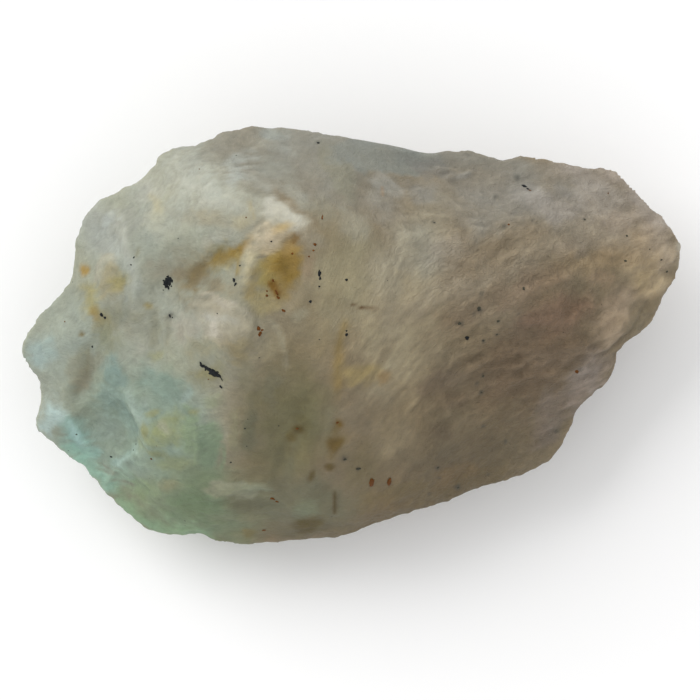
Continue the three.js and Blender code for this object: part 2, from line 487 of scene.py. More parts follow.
MARKS = (
    Mark("upper border of the snow bank", ((-2.7, 6.9), (-3.5, 8.5), (-6.0, 9.7), (-8.6, 11.3)),
         0.09, 0.35, 1.6, LEDGE),
    Mark("pale wall", ((-7.6, 2.6), (-7.3, 4.2), (-6.9, 5.7), (-5.6, 6.6), (-3.8, 6.9)), 0.09, 0.4),
    Mark("right wall of the bowl", ((-3.7, 6.4), (-3.1, 5.0), (-3.2, 3.3), (-4.2, 1.4)), 0.07, 0.3),
    Mark("brown crack", ((-11.2, 4.0), (-9.8, 5.0), (-8.6, 5.8), (-6.9, 6.6)), -0.12, 0.25),
    Mark("rim of the pocket", ((-10.0, 4.4), (-8.8, 4.8), (-7.9, 4.4)), 0.07, 0.18),
    Mark("rim of the white lobe",
         ((-9.6, -1.2), (-7.4, -0.9), (-6.4, 0.9), (-7.4, 2.5), (-8.9, 2.3), (-10.3, 2.5), (-11.0, 1.0)),
         0.12, 0.16, 1.6, LEDGE),
    Mark("arc below the bowl", ((-5.6, 1.4), (-4.6, 0.1), (-4.3, -1.6)), 0.07, 0.22),
    Mark("furrow beside the lobe", ((-11.6, 2.9), (-11.7, 0.8), (-11.3, -1.2)), -0.11, 0.35),
    Mark("second furrow", ((-13.3, 2.2), (-13.0, 0.4), (-13.2, -1.2)), -0.09, 0.4),
    Mark("third furrow", ((-12.4, 1.8), (-12.3, 0.2), (-12.5, -0.9)), -0.08, 0.25),
    Mark("seam down the shoulder", ((-15.5, 8.8), (-15.2, 6.3), (-14.6, 3.4), (-14.9, 1.4)), 0.12, 0.35),
    Mark("top of the knob", ((-15.3, 4.9), (-16.4, 5.5), (-17.2, 4.6), (-17.2, 3.0)), 0.14, 0.14, 1.2,
         LEDGE),
    Mark("drop beside the knob", ((-15.6, 2.4), (-15.3, 3.6), (-15.5, 4.7)), 0.13, 0.14, 1.0, LEDGE),
    Mark("crest", ((-6.5, -1.2), (-6.8, -4.3), (-7.0, -7.0), (-6.9, -9.6)), 0.05, 0.4),
    Mark("green arris", ((-10.6, -9.6), (-10.4, -7.6), (-10.5, -5.4)), 0.1, 0.1, 1.2, LEDGE),
    Mark("right side of the green face", ((-8.7, -5.2), (-8.4, -7.0), (-8.6, -9.2)), 0.08, 0.1, 1.0, LEDGE),
    Mark("top of the green face", ((-10.6, -5.3), (-9.6, -5.1), (-8.6, -5.2)), 0.06, 0.12),
    Mark("edge of the scoop", ((-15.6, -3.2), (-15.1, -4.4), (-14.4, -5.6), (-14.1, -7.0), (-13.5, -8.4)),
         0.32, 0.12, 2.2, LEDGE),
    Mark("pale crease", ((-14.0, -7.2), (-15.2, -8.2), (-16.3, -9.3), (-17.0, -10.0)), 0.13, 0.24),
    Mark("left crease", ((-17.6, 0.0), (-17.6, -1.7), (-18.4, -3.4), (-19.2, -5.0)), -0.08, 0.3),
    Mark("aqua strip", ((-19.0, -5.2), (-18.2, -7.2), (-17.0, -9.0)), 0.1, 0.42),
    Mark("shelf", ((-10.2, -10.1), (-9.2, -11.0), (-8.0, -10.6), (-6.0, -10.4), (-4.6, -10.5)),
         0.18, 0.12, 1.1, LEDGE),
    Mark("second shelf", ((-10.2, -12.2), (-8.4, -12.4), (-6.5, -12.6)), 0.1, 0.12, 0.9, LEDGE),
    Mark("left shoulder fold", ((-12.9, 10.4), (-13.4, 8.4), (-13.8, 6.4)), 0.07, 0.35),
    Mark("border of the grey facet", ((-2.0, 13.6), (-0.8, 11.9), (0.5, 10.1), (3.0, 9.8), (6.3, 10.3)),
         -0.08, 0.12, 1.6, LEDGE),
    Mark("wrinkle under the upper edge", ((5.6, 11.6), (6.6, 11.2), (7.8, 11.3)), 0.16, 0.2),
    Mark("second wrinkle", ((6.2, 10.5), (7.3, 10.9), (8.4, 11.3)), 0.14, 0.18),
    Mark("fold of the lower right", ((5.4, -3.2), (6.4, -4.6), (7.2, -7.0)), 0.14, 0.35),
    Mark("diagonal arris", ((3.4, 1.0), (6.3, 3.0), (11.4, 5.0), (17.1, 8.3)), 0.12, 0.7),
    Mark("fold of the thin end", ((9.0, 1.5), (13.0, 3.6), (17.6, 4.8), (21.0, 4.4)), 0.1, 0.6),
)


@dataclass(frozen=True)
class Flake:
    """A shell-shaped scar, where a flake came off as if a large ball had been cut away.

    Attributes:
        name: What it is.
        at: Its middle in plan, on the upper side.
        ball: The radius of the ball.
        depth: How deep the ball goes.
    """

    name: str
    at: Plan
    ball: float
    depth: float


FLAKES = (
    Flake("scoop on the left", (-16.8, -6.0), 4.2, 0.55),
    Flake("grey facet", (3.0, 11.9), 30.0, 0.18),
    Flake("flake on the shoulder", (-17.0, 7.2), 9.0, 0.25),
    Flake("flake at the lower left", (-14.6, -10.4), 7.0, 0.2),
    Flake("green face", (-9.5, -7.4), 5.0, 0.12),
)


@dataclass
class Knapping:
    """The flakes struck off the rough stone.

    Attributes:
        placed: The scars with a place of their own.
        hidden: How many more are struck off the sides and the underside.
        balls: The smallest and the largest radius of those.
        depths: The least and the greatest depth of those.
        uneven: How uneven a ball is, as a share of its radius.
        lean: How far a ball leans away from straight out.
        spare: How deep a ball may cut into what is spared.
        lowest: The lowest place that is struck.
        base: The middle and the half sizes of the resting face, which is spared.
        seed: Gives the same scars each time.
    """

    placed: Sequence[Flake] = FLAKES
    hidden: int = 44
    balls: Plan = (5.0, 20.0)
    depths: Plan = (0.15, 0.7)
    uneven: float = 0.012
    lean: float = 0.2
    spare: float = 0.03
    lowest: float = 0.8
    base: tuple[Plan, Plan] = ((-2.0, 0.0), (9.0, 8.5))
    seed: int = 11

    TRIES = 1500
    FLAT = 0.05

    def _ball(self, middle: np.ndarray, radius: float, group: bpy.types.Collection) -> None:
        """Adds a slightly uneven ball to the group of cutters.

        Args:
            middle: Its middle.
            radius: Its radius.
            group: The group that it joins.
        """
        shape = bmesh.new()
        bmesh.ops.create_icosphere(shape, subdivisions=4, radius=1.0)
        noise = SmoothNoise(len(group.objects))
        unit = np.array([vert.co for vert in shape.verts])
        stretch = 1 + self.uneven * noise(unit * 0.35 * radius)
        for vert, place in zip(shape.verts, middle + unit * (radius * stretch)[:, None]):
            vert.co = place
        mesh = bpy.data.meshes.new("cutter")
        shape.to_mesh(mesh)
        shape.free()
        group.objects.link(bpy.data.objects.new("cutter", mesh))

    def _strike_hidden_sides(self, stone: bpy.types.Object, group: bpy.types.Collection) -> None:
        """Adds cutters over the sides and the underside that spare the rim and the resting face.

        Args:
            stone: The rough stone.
            group: The group that the cutters join.
        """
        draw = np.random.default_rng(self.seed)
        points = np.array([vertex.co for vertex in stone.data.vertices])
        facing = np.array([vertex.normal for vertex in stone.data.vertices])
        resting = (points[:, 2] < self.FLAT) & (reach_of(points[:, :2], *self.base, 0) < 1)
        spared = points[(facing[:, 2] > -self.FLAT) | resting]
        open_to_cuts = np.flatnonzero((facing[:, 2] < 0) & (points[:, 2] > self.lowest))
        struck = 0
        for _ in range(self.TRIES):
            spot = draw.choice(open_to_cuts)
            radius = draw.uniform(*self.balls)
            lean = facing[spot] + draw.normal(scale=self.lean, size=3)
            middle = points[spot] + lean / np.linalg.norm(lean) * (radius - draw.uniform(*self.depths))
            nearest = np.min(np.linalg.norm(spared - middle, axis=1))
            if struck < self.hidden and nearest > radius - self.spare:
                self._ball(middle, radius, group)
                struck += 1
        LOG.info("opal: %d flakes struck off the hidden sides", struck)

    def cutters(self, stone: bpy.types.Object) -> bpy.types.Collection:
        """Makes the cutters.

        Args:
            stone: The rough stone, in millimetres.

        Returns:
            A group of balls to cut away.
        """
        group = bpy.data.collections.new("cutters")
        for flake in self.placed:
            _, spot, facing, _ = stone.ray_cast(Vector((*flake.at, 100)), Vector((0, 0, -1)))
            self._ball(np.array(spot + facing * (flake.ball - flake.depth)), flake.ball, group)
        self._strike_hidden_sides(stone, group)
        return group


@dataclass(frozen=True)
class Bulge:
    """A place that pushes the fibres aside.

    Attributes:
        at: Its middle in plan.
        size: How far it reaches, in millimetres.
        push: How far it pushes them away from the middle of their arcs.
    """

    at: Plan
    size: float
    push: float

    def shift(self, plan: np.ndarray) -> np.ndarray:
        """Returns how far it shifts the fibres at each point."""
        apart = np.linalg.norm(plan - np.array(self.at), axis=1)
        return self.push * np.exp(-((apart / self.size) ** 2))


@dataclass(frozen=True)
class Fibres:
    """The fibres of the stone, which rise from its foot and bend over to the thin end in wide arcs.

    Attributes:
        centre: The middle of the arcs, in plan.
        bulges: What bends the arcs.
        width: How wide a strand is, in millimetres.
        length: How long a strand is.
        rise: How far the strands stand out.
    """

    centre: Plan = (24.0, -18.0)
    bulges: tuple[Bulge, ...] = (Bulge((17.0, -1.0), 7.0, 3.2), Bulge((0.0, 11.0), 6.0, -3.2))
    width: float = 0.85
    length: float = 3.6
    rise: float = 0.4

    COURSE = "fibre_course"
    ARC = 28.0

    def course(self, points: np.ndarray) -> np.ndarray:
        """Works out how far each point lies across and along the fibres.

        Args:
            points: The surface's points.

        Returns:
            The distance across, the distance along and the height of each point, in millimetres.
        """
        offset = points[:, :2] - np.array(self.centre)
        across = np.linalg.norm(offset, axis=1) + sum(bulge.shift(points[:, :2]) for bulge in self.bulges)
        along = self.ARC * np.arctan2(offset[:, 1], -offset[:, 0])
        return np.column_stack([across, along, points[:, 2]])

    def _drawn_out(self, points: np.ndarray, grain: SmoothNoise, size: float, stray: float) -> np.ndarray:
        """Works out noise that is drawn out along the fibres.

        Args:
            points: The surface's points.
            grain: The noise.
            size: How coarse it is, where 1 is a whole strand.
            stray: How far it strays from the fibres, in millimetres.

        Returns:
            The noise at each point.
        """
        course = self.course(points)
        sway = 0.6 * grain(points, size=2.5)
        course[:, 0] += stray * grain.layered(points, 3, gain=0.6, size=0.9, shift=60 * size) + sway
        course[:, 1] += stray * grain.layered(points, 2, gain=0.6, size=0.9, shift=30)
        strand = np.array([self.width, self.length, 1.5 * self.width])
        return grain(course, size=size * strand, shift=9 * size)

    def strands(self, points: np.ndarray, grain: SmoothNoise) -> np.ndarray:
        """Works out the strands, whose crests are bolder than the dips between them.

        Args:
            points: The surface's points.
            grain: The noise.

        Returns:
            A value from about -0.6 to 1.2 for each point.
        """
        whole = self._drawn_out(points, grain, size=1.0, stray=0.28)
        split = self._drawn_out(points, grain, size=0.6, stray=0.3)
        strands = 0.6 * whole + 0.4 * split
        return strands + np.maximum(strands, 0) ** 1.5

    def height(self, points: np.ndarray, grain: SmoothNoise) -> np.ndarray:
        """Works out how far the strands stand out.

        Args:
            points: The surface's points.
            grain: The noise.

        Returns:
            The rise at each point.
        """
        x, y = points[:, 0], points[:, 1]
        right = smoothstep(-1, 6, x + grain(points, size=4, shift=60))
        bold = 0.28 + 0.72 * right * smoothstep(-8, -2, y)
        off_the_left = smoothstep(-8, -3, x)
        fainter_at_the_top = 1 - 0.5 * smoothstep(7, 9, y)
        uneven = 0.85 + 0.8 * grain(points, size=3.5, shift=30)
        strength = bold * off_the_left * fainter_at_the_top * uneven
        return self.rise * strength * self.strands(points, grain)


@dataclass(frozen=True)
class Swirls:
    """The short curling strokes in the milky left side of the stone.

    Attributes:
        curl: How far the strokes are bent, in millimetres.
        turn_over: The distance over which they change their direction.
        width: How wide a stroke is.
        length: How long a stroke is.
    """

    curl: float = 1.6
    turn_over: float = 2.6
    width: float = 0.5
    length: float = 1.7

    def strokes(self, points: np.ndarray, grain: SmoothNoise) -> np.ndarray:
        """Works out the strokes.

        Args:
            points: The surface's points.
            grain: The noise.

        Returns:
            A value from about -0.8 to 0.8 for each point.
        """
        bend = np.column_stack([grain(points, self.turn_over, shift) for shift in (3, 43, 83)])
        stroke = np.array([self.length, self.width, 2 * self.width])
        return grain.layered(points + self.curl * bend, 3, gain=0.6, size=stroke)


def linear(swatch: Swatch) -> Colour:
    """Turns a display colour into the linear one that a shader takes.

    Args:
        swatch: Its red, green and blue parts, each from 0 to 255.

    Returns:
        The linear colour.
    """
    shares = (part / 255 for part in swatch)
    return tuple(s / 12.92 if s <= 0.04045 else ((s + 0.055) / 1.055) ** 2.4 for s in shares)


class Canvas:
    """The stone's body colours, laid on coat by coat.

    A coat's border strays in a broad drift and a finer waver, both in millimetres.
    """

    DRIFT = 2.2
    WAVER = 0.8
    WIDE_FOR_DRIFT = 4
    WIDE_FOR_WAVER = 1.2
    FULL_COVER = 1.15

    def __init__(self, clay: Clay, ground: Swatch, wisps: np.ndarray, seed: int) -> None:
        """Primes the stone.

        Args:
            clay: The shaped stone.
            ground: The colour below all coats.
            wisps: What breaks up the coats, from about -0.8 to 0.8 at each point.
            seed: Gives the same wandering borders each time.
        """
        points = clay.points
        drift, waver = SmoothNoise(seed), SmoothNoise(seed + 1)
        shifts = (0, 50)
        self._plan = clay.plan.copy()
        self._drift = self.DRIFT * np.column_stack([drift(points, 5, shift) for shift in shifts])
        self._waver = self.WAVER * np.column_stack(
            [waver.layered(points, 3, size=1.6, shift=shift) for shift in shifts])
        self._wisps = wisps + 0.5 * waver.layered(points, 4, gain=0.65, size=1.3, shift=90)
        self.torn = 0.0
        self.upper = self._upper_side(clay, waver)
        self.colour = np.tile(np.array(linear(ground)), (len(points), 1))

    @staticmethod
    def _upper_side(clay: Clay, waver: SmoothNoise) -> np.ndarray:
        """Finds the upper side, from which the colours run a little way over the rim.

        Args:
            clay: The shaped stone.
            waver: What makes the lower border ragged.

        Returns:
            1 on the upper side and 0 on the hidden sides, with a soft change.
        """
        facing = smoothstep(-0.05, 0.2, clay.normals()[:, 2])
        ragged = 0.3 * waver.layered(clay.points, 4, gain=0.6, size=1.8, shift=70)
        run_over = smoothstep(0.05, 0.45, clay.spread(facing, 240) + ragged)
        return np.maximum(facing, run_over)

    def strayed_plan(self, size: float) -> np.ndarray:
        """Returns the points in plan, shifted so that a coat gets a natural border.

        Args:
            size: The coat's smaller half size, which limits the shift.

        Returns:
            The shifted points.
        """
        drift = self._drift * min(1.0, size / self.WIDE_FOR_DRIFT)
        return self._plan + drift + self._waver * min(1.0, size / self.WIDE_FOR_WAVER)

    def fray(self, cover: np.ndarray) -> np.ndarray:
        """Breaks a coat up into wisps, most of all where it is thin."""
        return np.clip(cover * (1 + self.torn * self._wisps * (self.FULL_COVER - cover)), 0, 1)

    def lay(self, coats: "Sequence[Patch | Vein]", share: np.ndarray | float = 1.0) -> None:
        """Lays coats of colour on, one over the other.

        Args:
            coats: The coats, the lowest first.
            share: How far each point takes them.
        """
        for coat in coats:
            self.blend(coat.swatch, coat.cover(self) * share)

    def blend(self, swatch: Swatch, cover: np.ndarray) -> None:
        """Blends one colour in by each point's cover."""
        self.colour += (np.array(linear(swatch)) - self.colour) * cover[:, None]

    def brighten(self, amount: np.ndarray) -> None:
        """Makes each point brighter by its amount, or darker where that is negative."""
        self.colour *= 1 + amount[:, None]

    def tint(self, amount: np.ndarray, parts: Colour) -> None:
        """Shifts the red, green and blue parts of each point, each by its own share of the amount."""
        self.colour *= 1 + amount[:, None] * np.array(parts)

    def save(self, mesh: bpy.types.Mesh, name: str) -> None:
        """Keeps the colours in the mesh.

        Args:
            mesh: The stone's mesh.
            name: The name of the colour attribute.
        """
        layer = mesh.color_attributes.new(name, "FLOAT_COLOR", "POINT")
        whole = np.column_stack([np.clip(self.colour, 0, 1), np.ones(len(self.colour))])
        layer.data.foreach_set("color", whole.ravel())


@dataclass(frozen=True)
class Patch:
    """A soft-edged patch of colour.

    Attributes:
        name: What it is.
        at: Its middle in plan.
        half: Its half length and half width.
        turn: The direction of its length, in degrees.
        swatch: Its colour.
        strength: How far it covers what is below.
        edge: The share of its radius over which it fades.
    """

    name: str
    at: Plan
    half: Plan
    turn: float
    swatch: Swatch
    strength: float = 1.0
    edge: float = 0.8

    def cover(self, canvas: Canvas) -> np.ndarray:
        """Works out how far the patch covers each point.

        Args:
            canvas: The canvas that it is laid on.

        Returns:
            A share from 0 to 1 for each point.
        """
        plan = canvas.strayed_plan(min(self.half))
        reach = reach_of(plan, self.at, self.half, self.turn)
        return self.strength * canvas.fray(smoothstep(1, 1 - self.edge, reach))


@dataclass(frozen=True)
class Vein:
    """A line of colour that may be sharp on one side and soft on the other.

    Attributes:
        name: What it is.
        path: Its points in plan.
        left: How far it reaches to the left of the path.
        right: How far it reaches to the right.
        swatch: Its colour.
        strength: How far it covers what is below.
    """

    name: str
    path: tuple[Plan, ...]
    left: float
    right: float
    swatch: Swatch
    strength: float = 0.8

    ENDS = 0.2
    SPENT = 2.5

    def cover(self, canvas: Canvas) -> np.ndarray:
        """Works out how far the vein covers each point.

        Args:
            canvas: The canvas that it is laid on.

        Returns:
            A share from 0 to 1 for each point.
        """
        plan = canvas.strayed_plan(0.5 * (self.left + self.right))
        line = Line(self.path)
        near = line.near(plan, self.SPENT * max(self.left, self.right))
        signed, share = line.measure(plan[near])
        width = np.where(signed > 0, self.left, self.right)
        cover = np.zeros(len(plan))
        cover[near] = taper(share, self.ENDS) * np.exp(-((signed / width) ** 2))
        return self.strength * canvas.fray(cover)


GROUND = (128, 115, 91)

BODY_COATS = (
    Patch("left half", (-17, 2), (15, 20), 0, (147, 150, 133), 1.0, 0.6),
    Patch("top", (-2, 13), (12, 5), -7, (134, 133, 122), 0.9),
    Patch("right top", (11.5, 9.5), (9, 3.8), -8, (138, 134, 123), 0.9),
    Patch("end of the right top", (18, 7.8), (5, 2.6), -32, (152, 142, 126), 0.8),
    Patch("milky upper left", (-11, 9.4), (6.8, 5.0), -30, (158, 160, 146), 0.95),
    Patch("left shoulder", (-17.0, 7.2), (2.6, 4.2), 48, (153, 156, 147), 0.8),
    Patch("left nose", (-19.4, -0.6), (3.4, 5.0), 0, (142, 150, 138), 0.8),
    Patch("middle left", (-13.4, 1.0), (5.0, 4.4), 0, (147, 149, 134), 0.8),
    Patch("bright middle", (-0.8, 3.8), (6.4, 4.6), 82, (147, 140, 113), 0.85),
    Patch("warm middle right", (9, 4.0), (9.5, 4.2), 20, (143, 129, 106), 0.9),
    Patch("light field", (4.4, 5.2), (6.2, 3.4), 66, (153, 147, 128), 0.9),
    # Darker right and lower right: partly the stone's own colour, partly painted shade for the sides that
    # face away from the key light.
    Patch("dark right", (12.5, -2.2), (8, 4.8), 18, (113, 96, 75), 0.95),
    Patch("dark lower right", (7.5, -8), (8.5, 4.2), 20, (109, 97, 75), 0.95),
    Patch("dark olive middle", (-4.0, -6.2), (7.5, 3.6), 82, (108, 104, 74), 0.9),
    Patch("bottom middle", (-2.6, -11.6), (5.2, 2.6), 5, (107, 106, 84), 0.85),
    Patch("teal lower left", (-14.2, -6.2), (8.0, 6.4), -25, (130, 146, 130), 0.95),
    Patch("green bottom", (-10.4, -11.2), (6.6, 4.2), 0, (112, 127, 99), 0.9),
    Patch("thin end", (20.4, 5.0), (4.2, 2.8), 70, (163, 147, 122), 0.85),
)

SURFACE_COATS = (
    # The upper left, from the shoulder to the snow bank.
    Patch("white lobes", (-10.2, 10.4), (3.6, 1.9), -26, (164, 167, 155), 0.9),
    Patch("pale upper edge", (-10.4, 11.8), (3.0, 1.5), -24, (160, 161, 148), 0.6),
    Patch("pale corner of the shoulder", (-13.7, 9.9), (1.3, 0.9), 0, (168, 168, 156), 0.6),
    Patch("cream fold", (-12.8, 8.8), (1.9, 1.1), 70, (161, 161, 142), 0.8),
    Vein("cream wrinkle", ((-13.7, 9.8), (-13.1, 8.9), (-12.5, 8.2)), 0.3, 0.3, (162, 157, 130), 0.7),
    Patch("dull slope of the shoulder", (-15.2, 7.8), (2.0, 1.3), 20, (140, 142, 131), 0.75),
    Patch("bluish flecks of the shoulder", (-16.4, 7.9), (1.3, 0.8), 40, (162, 167, 160), 0.8),
    Patch("grey gap in the white", (-11.6, 8.0), (1.6, 0.5), -24, (150, 150, 134), 0.7),
    Patch("tan cloud", (-9.4, 7.8), (2.5, 1.0), 8, (148, 144, 124), 0.85),
    Patch("cream above the hollow", (-7.3, 7.7), (1.4, 0.7), 20, (164, 157, 130), 0.8),
    # Painted shade left of the brown hollow.
    Patch("painted shade left of the hollow", (-12.6, 4.6), (2.6, 1.5), 30, (134, 129, 110), 0.75, 1.0),
    # Painted shade below the knob.
    Patch("painted shade below the knob", (-15.2, 1.4), (1.4, 2.0), 0, (130, 128, 109), 0.85, 1.0),
    Patch("pale patch over the trough", (-9.0, 6.5), (1.7, 0.5), 26, (162, 161, 145), 0.8),
    Patch("snow bank", (-6.4, 8.5), (3.4, 1.1), -30, (160, 159, 143), 0.9),
    Patch("snow bank end", (-4.5, 7.9), (2.2, 1.2), -38, (174, 172, 156), 0.85),
    Vein("bright crest of the bank", ((-6.2, 9.0), (-5.0, 8.5), (-4.0, 7.8), (-3.1, 6.8)), 0.5, 0.7,
         (188, 186, 172), 0.8),
    Vein("white wisp", ((-12.2, 10.6), (-10.6, 10.1), (-9.0, 9.9), (-7.4, 9.5)), 0.35, 0.3,
         (168, 170, 158), 0.45),
    Vein("second wisp", ((-10.4, 9.0), (-8.6, 8.8), (-6.9, 8.5)), 0.25, 0.3, (168, 168, 154), 0.7),
    Vein("pale shoulder of the bank", ((-8.0, 10.8), (-6.4, 10.4), (-5.2, 9.4)), 0.3, 0.4,
         (158, 158, 145), 0.6),
    # Painted shade above the snow bank, along the drop of its upper border.
    Vein("painted shade above the snow bank", ((-3.0, 7.9), (-3.8, 9.3), (-5.8, 10.3), (-7.4, 11.4)),
         0.2, 0.8, (148, 146, 132), 0.45),
    Patch("grey veil above the bank", (-5.0, 11.0), (2.6, 1.2), -34, (142, 143, 131), 0.7),
    Patch("pale blue-grey above the bank", (-7.5, 11.4), (1.4, 1.8), -10, (160, 165, 158), 0.7),
    Patch("pale veil", (-3.6, 9.4), (1.8, 1.0), -40, (150, 151, 139), 0.6),
    Patch("pale cloud at the top", (-5.0, 12.7), (2.0, 0.8), -20, (150, 150, 138), 0.6),
    Patch("bluish rim at the top", (-5.2, 13.7), (1.8, 0.7), -8, (152, 158, 152), 0.7),
    Patch("tan strip", (-0.8, 11.0), (2.8, 0.9), -56, (131, 128, 110), 0.85, 0.5),
    Patch("grey below the strip", (-2.0, 8.6), (2.0, 1.6), 0, (138, 135, 117), 0.6),
    Patch("blue-grey facet", (2.3, 12.1), (4.6, 1.7), -9, (127, 129, 120), 0.95, 0.3),
    Patch("facet end", (5.6, 11.2), (2.0, 1.0), -14, (123, 121, 114), 0.7, 0.5),
    Vein("grey upper edge", ((5.0, 12.6), (8.5, 12.2), (13.0, 11.8)), 0.6, 1.2, (128, 126, 116), 0.75),
    Patch("grey below the facet", (0.4, 7.6), (2.4, 1.6), -60, (146, 143, 127), 0.7),
    Vein("pale border of the facet", ((1.6, 11.2), (2.7, 10.3), (3.8, 9.5)), 0.1, 0.6, (150, 145, 132), 0.8),
    Patch("cream fleck", (1.8, 10.1), (1.2, 0.4), -30, (152, 148, 135), 0.7),
    Vein("orange thread", ((2.1, 10.1), (2.15, 9.3)), 0.1, 0.1, (142, 108, 62), 0.8),
    Patch("pale wrinkles", (7.6, 10.9), (1.2, 0.35), 25, (142, 141, 134), 0.7),
    # The hollows around the pale wall.
    Patch("brown haze of the hollow", (-10.6, 4.2), (3.0, 1.5), 42, (126, 115, 86), 0.85, 1.0),
    Patch("tan of the hollow", (-8.4, 5.3), (1.5, 1.2), 30, (134, 124, 84), 0.85, 0.8),
    Patch("brown of the hollow", (-10.2, 4.3), (1.7, 0.9), 44, (112, 99, 66), 0.85, 1.0),
    Vein("deep brown in the hollow", ((-11.1, 3.6), (-10.5, 4.2), (-9.7, 5.1)), 0.35, 0.35,
         (104, 92, 62), 0.6),
    Vein("orange in the hollow", ((-9.7, 4.8), (-8.5, 5.5), (-7.4, 6.0), (-6.4, 6.8)), 0.3, 0.45,
         (128, 108, 54), 0.95),
    Patch("deep orange", (-7.4, 5.9), (1.2, 0.5), 34, (126, 102, 40), 0.85, 1.0),
    Vein("olive thread", ((-7.65, 5.8), (-7.6, 4.8), (-7.65, 3.9)), 0.25, 0.1, (140, 124, 74), 0.8),
    Vein("foot of the haze", ((-9.9, 4.9), (-8.9, 4.9), (-7.9, 4.9)), 0.15, 0.12, (132, 116, 72), 0.5),
    Vein("thin brown thread", ((-10.9, 3.8), (-10.6, 3.3), (-10.4, 2.8)), 0.1, 0.1, (118, 108, 80), 0.8),
    Patch("lavender pocket", (-9.2, 3.5), (2.2, 1.0), 0, (122, 112, 88), 0.85, 0.9),
    Patch("lavender left of the hollow", (-11.4, 4.4), (1.2, 0.9), 40, (122, 114, 92), 0.85),
    # Painted shade below the brown hollow.
    Patch("painted shade below the hollow", (-10.0, 2.2), (2.8, 1.3), 0, (117, 109, 88), 0.9, 1.0),
    Vein("pale wall", ((-7.0, 3.2), (-6.95, 4.3), (-6.8, 5.2), (-6.4, 6.0)), 0.35, 0.35,
         (188, 180, 150), 0.85),
    Patch("haze of the bowl", (-5.4, 3.9), (3.0, 2.1), 80, (148, 134, 76), 0.85, 1.0),
    Patch("ochre bowl", (-4.8, 4.7), (1.9, 1.6), 80, (156, 134, 74), 0.95, 0.9),
    Patch("deep ochre", (-4.2, 4.2), (2.3, 1.1), 80, (132, 106, 38), 0.95, 0.8),
    Patch("olive heart of the bowl", (-4.3, 4.6), (1.2, 0.6), 90, (112, 90, 34), 0.85, 0.9),
    Vein("ochre border of the bowl", ((-3.75, 4.0), (-3.7, 5.0), (-3.95, 6.0)), 0.6, 0.1,
         (140, 115, 58), 0.8),
    Patch("pinkish lip of the bowl", (-5.6, 5.7), (1.2, 0.6), 20, (188, 173, 142), 0.8, 1.0),
    Patch("ochre peak", (-4.1, 6.0), (1.0, 0.6), 70, (154, 130, 78), 0.8, 1.0),
    Vein("ochre tip of the peak", ((-3.8, 6.0), (-3.75, 6.6), (-3.4, 6.4)), 0.15, 0.12, (116, 88, 36), 0.8),
    Patch("olive below the bowl", (-4.8, 2.8), (1.8, 1.0), 80, (142, 128, 90), 0.6, 1.0),
    Vein("ochre edge of the bowl", ((-6.2, 4.6), (-6.6, 3.6), (-6.5, 2.4)), 0.3, 0.5, (132, 118, 78), 0.7),
    Patch("olive foot of the bowl", (-5.8, 2.3), (1.4, 1.0), -30, (146, 137, 104), 0.5),
    Vein("ochre tongue", ((-5.5, 3.8), (-5.2, 3.2), (-4.7, 2.5)), 0.35, 0.2, (112, 82, 22), 1.0),
    Patch("grey right of the bank", (-2.6, 6.6), (1.2, 1.2), 0, (146, 141, 124), 0.5),
    # Painted shade below the ochre bowl.
    Patch("painted shade below the bowl", (-3.2, 1.6), (2.6, 1.4), 88, (120, 110, 86), 0.85, 1.0),
    Patch("lavender beside the bowl", (-2.9, 4.6), (1.7, 0.8), 85, (138, 122, 97), 0.8, 0.7),
    # Painted shade right of the ochre bowl.
    Patch("painted shade right of the bowl", (-1.4, 1.8), (1.8, 1.4), 60, (124, 116, 92), 0.6, 1.0),
    Patch("bluish foot of the bowl", (-3.4, 1.4), (0.9, 0.7), 40, (137, 133, 113), 0.6),
    Patch("pinkish foot of the bank", (-5.7, 6.6), (1.9, 1.2), 10, (192, 180, 155), 0.85, 1.0),
    Patch("ochre under the bank", (-4.6, 7.2), (1.1, 0.5), 14, (186, 164, 114), 0.8, 1.0),
    Vein("ochre thread up the bank", ((-6.3, 7.6), (-6.6, 8.4), (-6.9, 9.2)), 0.18, 0.15,
         (156, 146, 112), 0.6),
    # The white lobe and the lobes left of it.
    Patch("tan foot of the lobe", (-7.5, -1.0), (2.0, 1.5), -60, (134, 124, 94), 0.85, 1.0),
    Patch("white lobe", (-8.6, 0.9), (2.6, 2.0), -15, (157, 151, 131), 0.9, 0.5),
    Patch("bright fleck of the lobe", (-8.2, 2.3), (1.2, 0.4), 0, (158, 154, 140), 0.8),
    Patch("second bright fleck", (-10.3, 2.3), (0.8, 0.4), 10, (150, 146, 128), 0.7),
    Patch("cream side of the lobe", (-11.2, 0.4), (1.6, 1.5), 0, (158, 153, 137), 0.75),
    Vein("bright heart of the lobe", ((-8.8, 1.6), (-9.2, 0.7), (-8.9, -0.3)), 0.4, 0.4,
         (178, 172, 156), 0.85),
    # Painted highlight along the lit rim of the white lobe.
    Vein("painted highlight on the rim of the lobe", ((-10.6, 2.8), (-9.6, 2.9), (-8.7, 2.5), (-7.8, 2.2), (-7.0, 1.7),
                                  (-6.0, 0.9)), 0.1, 0.4, (168, 161, 143), 0.5),
    Vein("tan shade of the lobe", ((-10.3, 1.7), (-9.6, 1.9), (-8.6, 1.8)), 0.25, 0.3, (146, 138, 116), 0.6),
    Vein("white rib of the lobe", ((-9.9, 1.6), (-9.2, 1.1), (-8.2, 1.2), (-7.3, 0.7)), 0.2, 0.25,
         (162, 160, 147), 0.6),
    Patch("pinkish tan of the lobe", (-10.9, 0.8), (0.8, 1.6), 0, (148, 145, 128), 0.6),
    Vein("pale arc", ((-5.8, 1.6), (-4.7, 0.3), (-4.3, -1.2), (-4.4, -2.4)), 0.15, 0.3,
         (142, 137, 116), 0.7),
    Vein("brown furrow", ((-13.4, 2.0), (-13.1, 0.4), (-13.4, -0.8)), 0.4, 0.4, (132, 131, 109), 0.6),
